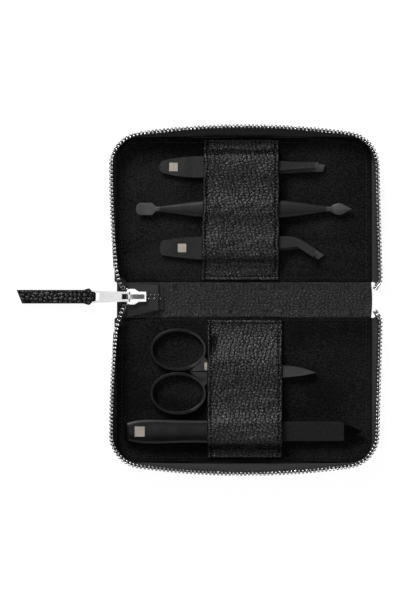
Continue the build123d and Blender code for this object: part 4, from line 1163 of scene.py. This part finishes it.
make_end_tape()
joined_rows = []
for sign, first in ((1, 0.0), (-1, tooth_pitch / 2)):
    x = np.arange(4) * tooth_pitch + slider_tail + 0.35 + first
    line = np.stack([x, np.full(4, slider_middle - 0.15 * sign), np.full(4, tape_level)], axis=-1)
    joined_rows.append((line, np.array([0.0, -sign, 0.0])))
joined = copies_along("joined_teeth_rows", joined_rows, prong_model, tooth_pitch, "zipper_metal")
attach(joined, "spine")
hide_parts("joined_teeth")

# %% [markdown]
# ## Steel pieces
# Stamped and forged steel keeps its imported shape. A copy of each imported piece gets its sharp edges
# rounded, as tumbling in a barrel does to the real ones, and then its coat.

# %% Pieces copied from the frame
def rounded_copy(node, body, material, width, end=(0, 0, 0), full=None, steps=2, angle=28):
    """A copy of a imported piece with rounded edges. width is in millimetres. end says how much longer the
    right end is, how far sideways it lies and how much narrower it is, as the two arms of a pair of
    tweezers never match. full is a place along x, left of which the edges get a second width."""
    mesh = nodes[node].data.copy()
    mesh.transform(nodes[node].matrix_world)
    start, reach = min(v.co.x for v in mesh.vertices), max(v.co.x for v in mesh.vertices)
    centre = sum(v.co.y for v in mesh.vertices if v.co.x > reach - 0.001) / max(1, sum(v.co.x > reach - 0.001 for v in mesh.vertices))
    for vertex in mesh.vertices:
        share = ((vertex.co.x - start) / (reach - start)) ** 2
        vertex.co.y += end[1] * MM * share - end[2] * share * (vertex.co.y - centre)
        vertex.co.x += end[0] * MM * share
    mesh.materials.clear()
    mesh.materials.append(materials[material])
    shape = bmesh.new()
    shape.from_mesh(mesh)
    bmesh.ops.remove_doubles(shape, verts=shape.verts, dist=2e-6)
    bmesh.ops.dissolve_limit(shape, angle_limit=radians(0.5), verts=shape.verts, edges=shape.edges)
    shape.normal_update()
    edges = [e for e in shape.edges if len(e.link_faces) == 2 and e.calc_face_angle() > radians(angle)]
    limit, wide = full or (-999, width)
    left = [e for e in edges if max(v.co.x for v in e.verts) < limit * MM]
    right = [e for e in edges if max(v.co.x for v in e.verts) >= limit * MM]
    for group, offset, segments in ((left, wide, 3), (right, width, steps)):
        group = [e for e in group if e.is_valid]
        bmesh.ops.bevel(shape, geom=group, offset=offset * MM, segments=segments, affect="EDGES", profile=0.5,
                        clamp_overlap=True, loop_slide=True)
    bmesh.ops.recalc_face_normals(shape, faces=shape.faces)
    shape.to_mesh(mesh)
    shape.free()
    mesh.shade_smooth()
    mesh.set_sharp_from_angle(angle=radians(42))
    piece = bpy.data.objects.new(node + "_steel", mesh)
    bpy.context.scene.collection.objects.link(piece)
    piece.modifiers.new("even_normals", "WEIGHTED_NORMAL").keep_sharp = True
    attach(piece, body)
    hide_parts(node)
    print(piece.name, len(mesh.polygons), "faces")
    return piece


ring_edge = (-26.0, 0.9)
same = (0, 0, 0)
for node, body, material, slot, width, end in (
    ("slider_body", "slider", "slider_metal", "slider_metal", 0.22, same),
    ("puller", "puller", "slider_metal", "slider_metal", 0.25, same),
    ("scissors_lower_half", "scissors", "scissors_steel", "scissors_steel", 0.3, same),
    ("scissors_upper_half", "scissors_upper", "scissors_steel", "scissors_steel", 0.3, same),
    ("scissors_screw", "scissors", "scissors_steel", "scissors_steel", 0.12, same),
    ("slant_tweezers_lower_arm", "slant_tweezers", "tweezers_steel", "tweezers_steel", 0.22, (0, -0.5, 0)),
    ("slant_tweezers_upper_arm", "slant_tweezers_arm", "tweezers_steel", "tweezers_steel", 0.22, (-3.6, 0.5, 0.3)),
    ("angled_tweezers_lower_arm", "angled_tweezers", "tweezers_steel", "tweezers_steel", 0.22, (0, -0.5, 0)),
    ("angled_tweezers_upper_arm", "angled_tweezers_arm", "tweezers_steel", "tweezers_steel", 0.22, (-3.2, 0.9, 0)),
    ("file_blade", "nail_file", "blade_steel", "blade_steel", 0.12, same),
    ("file_abrasive", "nail_file", "abrasive", "abrasive", 0.04, same),
    ("scissors_inlay", "scissors_upper", "inlay", "inlay", 0.04, same),
    ("file_inlay", "nail_file", "inlay", "inlay", 0.04, same),
    ("slant_tweezers_inlay", "slant_tweezers_arm", "inlay", "inlay", 0.04, same),
    ("angled_tweezers_inlay", "angled_tweezers_arm", "inlay", "inlay", 0.04, same),
):
    rounded_copy(node, body, material, width, end, full=ring_edge if body.startswith("scissors") else None)
for node in ("lower_board", "spine_board", "upper_board"):
    nodes[node].data.materials.clear()
    nodes[node].data.materials.append(materials["board"])

# %% [markdown]
# ## File handle
# The handle is a smooth moulding with a crown, so it is dark along its lower side and lit along its
# upper one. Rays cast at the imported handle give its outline, and each cross-section is a soft oval.

# %% Handle
from mathutils.bvhtree import BVHTree


def surface_of(node):
    mesh = nodes[node].data
    return BVHTree.FromPolygons([v.co / MM for v in mesh.vertices], [tuple(p.vertices) for p in mesh.polygons])


def make_handle():
    low, high = box_mm("file_handle")
    middle_z, half_thick = (low[2] + high[2]) / 2, (high[2] - low[2]) / 2
    inlay_top = box_mm("file_inlay")[1][2]
    tree = surface_of("file_handle")
    x = crowded(low[0] + 0.02, high[0] - 0.02, 0.8)
    sides = [[tree.ray_cast(Vector((place, start, middle_z)), Vector((0, -start, 0)).normalized())[0].y
              for place in x] for start in (-400, 400)]
    lower_y, upper_y = np.array(sides)
    half_wide, centre = (upper_y - lower_y) / 2, (upper_y + lower_y) / 2
    rounding = 1 - 0.75 * np.clip(1 - (x - x[0]) / 2.2, 0, 1) ** 2.2
    turn = np.linspace(0, 2 * pi, 40, endpoint=False)
    side = np.sign(np.cos(turn)) * np.abs(np.cos(turn)) ** 0.8
    rise = np.sign(np.sin(turn)) * np.abs(np.sin(turn)) ** 0.8
    y = centre[:, None] + half_wide[:, None] * side
    crown = np.interp(x, [x[0] + 3, x[0] + 12, x[0] + 30], [inlay_top - 0.25, inlay_top - 0.12, high[2]]) - middle_z
    z = middle_z + np.where(rise > 0, crown[:, None], half_thick) * rounding[:, None] * rise
    points = np.stack([np.repeat(x[:, None], 40, axis=1), y, z], axis=-1)
    piece = grid("file_handle_moulding", points, "handle_black", loop=True, sharp=60)
    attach(piece, "nail_file")
    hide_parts("file_handle")


make_handle()

# %% [markdown]
# ## Cuticle pusher
# Forged in one piece: a slim spindle between a spoon that is hollowed along its length and a spear
# with a slight ridge. It is one loft of rounded cross-sections whose width, height and middle change
# along the tool, with the finish brushed brighter at the two ends.

# %% Pusher
def make_pusher():
    low, high = box_mm("cuticle_pusher")
    length = high[0] - low[0]
    neck_left, neck_right = 11.6, length - 12.8
    body = smooth_path([(1.25, 0.94), (4.68, 2.27), (5.2, 2.5), (4.85, 2.35), (1.25, 0.94)], 161)
    spots = np.concatenate([np.linspace(neck_left, neck_left + 26, 41), np.linspace(neck_left + 26, length / 2, 41)[1:],
                            np.linspace(length / 2, neck_right - 26, 41)[1:], np.linspace(neck_right - 26, neck_right, 41)[1:]])
    end = np.linspace(0.02, 1, 9)
    spoon_x = np.concatenate([2.3 * (1 - np.cos(end * pi / 2)), np.linspace(2.6, 8.6, 14), [9.2, 9.8, 10.4, 11.0]])
    spoon_w = np.concatenate([3.3 * np.sin(end * pi / 2), np.full(14, 3.3), [2.72, 2.16, 1.6, 1.22]])
    spear_x = length - np.array([12.1, 11.3, 10.4, 9.6, 8.8, 7.8, 6.8, 5.8, 4.9, 3.9, 2.8, 1.8, 0.9, 0.3, 0.03])
    spear_w = np.array([1.25, 1.5, 2.1, 2.55, 2.85, 3.08, 3.15, 2.98, 2.65, 2.14, 1.55, 1.02, 0.54, 0.22, 0.05])
    x = np.concatenate([spoon_x, spots, spear_x])
    width = np.concatenate([spoon_w, body[:, 0], spear_w])
    plate = 0.45
    height = np.concatenate([np.interp(spoon_x, [0, 1, 9, 11.3], [0.15, plate, plate, 0.9]), body[:, 1],
                             np.interp(spear_x - length, [-12.3, -10, -1, 0], [0.9, plate + 0.1, plate, 0.1])])
    square = np.interp(x, [9.0, 13.0, 30, length - 30, length - 14, length - 11], [0.22, 0.7, 0.85, 0.85, 0.7, 0.45])
    turn = np.linspace(0, 2 * pi, 32, endpoint=False)
    side = np.sign(np.cos(turn)) * np.abs(np.cos(turn)) ** square[:, None]
    rise = np.sign(np.sin(turn)) * np.abs(np.sin(turn)) ** square[:, None]
    hollow = 0.55 * np.clip(1 - ((x - 4.6) / 5.2) ** 2, 0, 1)
    middle = (low[2] + high[2]) / 2 - 0.25 * hollow
    ridge = 0.35 * ease((x - length + 11) / 3)[:, None] * (1 - np.abs(side)) * (rise > 0)
    points = np.stack([np.repeat((low[0] + x)[:, None], 32, axis=1), (low[1] + high[1]) / 2 + width[:, None] * side,
                       middle[:, None] + height[:, None] * rise + ridge - hollow[:, None] * 0.5 * (rise > 0)], axis=-1)
    piece = grid("pusher_forging", points, "pusher_steel", loop=True, sharp=50)
    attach(piece, "pusher")
    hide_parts("cuticle_pusher")


make_pusher()

# %% [markdown]
# ## Leather bands
# Each band is one strip of pebbled leather, sewn down at both ends and laid over the tools. The
# packed band says how high the leather lies at each place, and the grid follows it. The pebbles are
# real bumps in the mesh, flattened at the sewn ends, with creases where the strip rises.

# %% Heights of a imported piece
def top_of(node, x, places):
    """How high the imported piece's top is at each y, along one line of constant x."""
    tree = surface_of(node)
    return np.array([tree.ray_cast(Vector((x, y, 60)), Vector((0, 0, -1)))[0].z for y in places])


def soften(values, width):
    """A running mean that keeps the two end values."""
    shape = np.hanning(2 * width + 3)[1:-1]
    extended = np.concatenate([np.full(width, values[0]), values, np.full(width, values[-1])])
    return np.convolve(extended, shape / shape.sum(), mode="valid")


# %% Bands
band_thick = 1.3
leather_step = 0.27
stitch_inset = 2.1
stitch_pitch = 1.95
edge_round = 0.7


def lie_flat(heights, from_edge, flat, rise):
    """Leather that lies on the suede as far as flat and has climbed onto the tool at rise."""
    ground = lining_top + band_thick
    climbed = np.interp(rise, from_edge, heights) if from_edge[0] < from_edge[-1] else np.interp(
        rise, from_edge[::-1], heights[::-1])
    climb = ground + (climbed - ground) * ease((from_edge - flat) / (rise - flat))
    return np.where(from_edge < rise, np.where(from_edge < flat, np.minimum(heights, ground), climb), heights)


def make_band(half, sign, seed, widening, tools, near_rise, far_rise, gape=0.0):
    low, high = box_mm(half + "_band")
    middle = (low[0] + high[0]) / 2
    near, far = (low[1], high[1]) if sign > 0 else (-high[1], -low[1])
    v = np.concatenate([near + np.array([0, 0.08, 0.25]), np.arange(near + 0.5, far - 0.4, leather_step),
                        far - np.array([0.25, 0.08, 0])])
    heights = soften(top_of(half + "_band", middle, sign * np.clip(v, near + 0.05, far - 0.05)), 3)
    heights = lie_flat(heights, v - near, *near_rise)
    heights = soften(lie_flat(heights, far - v, *far_rise), 5)
    u = np.concatenate([[-1, -0.996, -0.988], np.linspace(-0.978, 0.978, 147), [0.988, 0.996, 1]])
    from_end = np.minimum(v - near, far - v)
    half_width = (high[0] - low[0]) / 2
    spread_left = widening * ease((far - v) / (far - near))
    edge = half_width + 0.18 * ripple(v, 0 * v, 13, seed)
    trim = 0.4 * np.exp(-((v - 21) / 4) ** 2)[:, None] * (gape > 0)
    x = middle + u[None] * edge[:, None] - (spread_left[:, None] * (1 - u[None]) / 2) + trim * (1 - u[None]) / 2
    y = np.repeat(v[:, None], len(u), axis=1)
    from_side = (1 - np.abs(u))[None] * edge[:, None]
    open_edge = gape * (ease((v - 16.5) / 4.5) * (1 - ease((v - 20.5) / 13)))[:, None] * (1 - ease((x - x[:, :1]) / 5.5))
    rolled = np.clip(np.minimum(from_side, from_end[:, None]), 0, edge_round)
    drop = edge_round - np.sqrt(edge_round ** 2 - (edge_round - rolled) ** 2)
    slope = np.abs(np.gradient(heights, v))
    fullness = ease(from_side / 3) * ease(from_end[:, None] / 4)
    loose = 0.22 * ripple(x, y, 17, seed + 2) + 0.14 * ripple(x * 0.4, y, 5, seed + 3)
    for place, reach in tools:
        loose = loose + 1.0 * np.exp(-((y - place + 0.05 * x) / reach) ** 4) - 0.25
    fold = np.zeros_like(x)
    for place, depth in ((4.6, 0.22), (5.9, 0.4), (7.1, 0.3)):
        wander = 0.5 * ripple(x, 0 * y + place, 16, seed + 4)
        fold = np.maximum(fold, depth * np.exp(-(((far - y) - place - wander) / 0.42) ** 2))
    fold = fold * (half == "upper")
    crease = fold + 0.08 * ripple(x * 0.15, y, 1.6, seed + 5) * ease(slope / 0.5)[:, None]
    grain = pebbles(0.85 * x + 0.22 * y, y, 1.55, seed)
    seams = np.minimum(np.abs(from_side - stitch_inset), np.abs(from_end[:, None] - 1.9 + 9.0 * (y > (near + far) / 2)))
    holes = 0.5 + 0.5 * np.cos(2 * pi * np.where(from_end[:, None] < 2.4, x, y) / stitch_pitch)
    pressed = np.exp(-(seams / 0.42) ** 2) * (0.14 + 0.4 * holes ** 1.5)
    relief = 0.30 * grain * (1 - 0.35 * ease(1 - from_end / 5))[:, None] * ease(np.minimum(from_side, from_end[:, None]) / 0.9)
    lifted = np.clip(fullness * loose - crease * fullness, -0.5, 1.2) - pressed + relief - 0.06
    z = heights[:, None] + open_edge - drop + lifted
    top = np.stack([x, sign * y, z], axis=-1)
    bare = np.linspace(0, len(u) - 1, 12).astype(int)
    floor = heights[:, None] + open_edge[:, bare] - band_thick + 0.02
    under = np.stack([x[:, bare], sign * y[:, bare], np.minimum(floor, z[:, bare] - 0.3)], axis=-1)[:, ::-1]
    # Painted shade: crease, stitch hole and fold points are marked to be painted darker.
    crease_shade = np.maximum(np.clip(1.15 - 1.7 * grain, 0, 1), np.clip(pressed / 0.3, 0, 1))
    crease_shade = np.maximum(crease_shade, np.clip(fold / 0.45, 0, 1))
    piece = grid(half + "_leather_band", np.concatenate([top, under], axis=1), "band_leather", loop=True, sharp=75,
                 crease_shade=np.concatenate([crease_shade, 0 * crease_shade[:, bare]], axis=1))
    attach(piece, half + "_half")
    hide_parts(half + "_band")
    lines = []
    inner = (from_end > 2.0)
    for side in (0, 1):
        share = stitch_inset / (2 * half_width)
        at = share if side == 0 else 1 - share
        seam_x = x[:, 0] * (1 - at) + x[:, -1] * at
        line = np.stack([seam_x, sign * v, heights - 0.2], axis=-1)[inner]
        rise = np.gradient(heights, v)[inner]
        lines.append((line, np.stack([0 * rise, -sign * rise, np.ones(len(rise))], axis=-1)))
    cross = np.linspace(middle - half_width + 2.2, middle + half_width - 2.2, 30)
    for place in (near + 1.9,):
        lines.append((np.stack([cross, np.full(30, sign * place), np.full(30, lining_top + band_thick - 0.15)], axis=-1),
                      np.array([0.0, 0.0, 1.0])))
    seam = copies_along(half + "_band_stitches", lines, band_stitch, stitch_pitch, "thread", wobble=0.08, seed=seed)
    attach(seam, half + "_half")
    print(piece.name, len(piece.data.polygons), "faces")


make_band("upper", 1, 21, 1.3, ((71.8, 6.5), (49.1, 5.0), (28.1, 6.5)), (7.6, 13.0), (4.2, 9.6))
make_band("lower", -1, 34, 0.0, ((36.5, 8.0), (71.0, 8.0)), (4.0, 25.0), (4.2, 9.0), gape=3.1)

# %% [markdown]
# ## Pull tab
# A strip of the same leather, folded double round the puller's bar and glued flat, with its far end
# cut at a slant. It is lofted along the puller's slope: a round loop at the bar, then the flat strap.

# %% Tab
def make_tab():
    bar = np.array([-81.921, slider_middle, 6.934])
    slope = radians(7.7)
    length = 41.3
    loop, flat_half, wide, neck = 1.95, 1.2, 3.7, 2.5
    u = np.concatenate([[-loop, -loop + 0.1], np.arange(-loop + 0.3, length - 0.25, 0.3), [length - 0.15, length]])
    thick = np.interp(u, [0, 1.2, 4.2, length], [loop, loop * 0.97, flat_half, flat_half])
    thick = np.where(u < 0, np.sqrt(np.clip(loop ** 2 - u ** 2, 0.01, None)), soften(thick, 4))
    width = soften(np.interp(u, [-2, 0.2, 1.6, 2.6, 4.6, length], [neck, neck + 0.3, wide + 0.9, wide + 0.7, wide, wide]), 2)
    over = np.sin(np.linspace(pi / 2, -pi / 2, 37)) * (1 - 0.12 * np.sin(np.linspace(0, pi, 37)))
    round_off = (1 - np.clip(np.abs(over), 0, 1) ** 6) ** (1 / 6)
    side = np.concatenate([over, over[-2:0:-1]])
    rise = np.concatenate([round_off, -round_off[-2:0:-1]])
    cut = 3.0 * ease((u - length + 8) / 8)
    along_u = u[:, None] - cut[:, None] * (1 - side[None]) / 2
    across = width[:, None] * side[None]
    cushions = pebbles(along_u, across + 9 * (rise > 0)[None], 2.2, 77)
    grain = 0.42 * cushions * ease((width[:, None] - np.abs(across)) / 0.8)
    squeeze = 0.12 * ripple(along_u, across, 9, 5)
    upright = (thick[:, None] - 0.12 + squeeze * 0.6) * rise[None] + grain * np.sign(rise)[None]
    fold_line = 0.25 * np.exp(-((along_u - 5.6 - 0.35 * np.cos(across)) / 0.5) ** 2)
    upright = upright - fold_line * rise[None]
    points = np.stack([bar[0] - along_u * cos(slope) - upright * sin(slope), bar[1] + across,
                       bar[2] - along_u * sin(slope) + upright * cos(slope)], axis=-1)
    # The creases between the pebbles are marked for painted shade.
    piece = grid("leather_tab", points, "tab_leather", loop=True, sharp=60, crease_shade=np.clip(1.25 - 1.7 * cushions, 0, 1))
    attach(piece, "pull_tab")
    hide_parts("pull_tab")
    print("tab lowest at", round(float(points[..., 2].min()), 2))


make_tab()

# %% [markdown]
# ## Seams of the linings
# The suede is sewn down along all its edges, with the thread sunk in the nap. The end of the zipper
# tape is sewn to the spine by one short column of stitches.

# %% Seams
seam_inset = 2.6
for half, sign, fold_seam in (("upper", 1, 11.9), ("lower", -1, 10.9)):
    rows = corner_rows(fold_seam, front - seam_inset, panel_corner - seam_inset, 1.0)
    right = side_edge(rows, half_length - seam_inset, panel_corner - seam_inset, front - seam_inset)
    level = lining_top + 0.02
    outline = np.concatenate([np.stack([right, sign * rows], -1), np.stack([-right, sign * rows], -1)[::-1]])
    outline = np.column_stack([outline, np.full(len(outline), level)])
    fold_row = np.linspace(-half_length + 8, half_length - seam_inset, 60)
    fold_row = np.stack([fold_row, np.full(60, sign * fold_seam), np.full(60, level)], axis=-1)
    up = np.array([0.0, 0.0, 1.0])
    seam = copies_along(half + "_suede_stitches", [(outline, up), (fold_row, up)], lining_stitch, 2.1, "thread",
                        wobble=0.1, seed=4)
    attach(seam, half + "_half")
column = np.stack([np.full(12, end_high[0] + 0.5), np.linspace(-4.9, 8.6, 12), np.full(12, lining_top + 0.05)], axis=-1)
seam = copies_along("spine_stitches", [(column, np.array([0.0, 0.0, 1.0]))], lining_stitch, 2.1, "thread", wobble=0.1)
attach(seam, "spine")
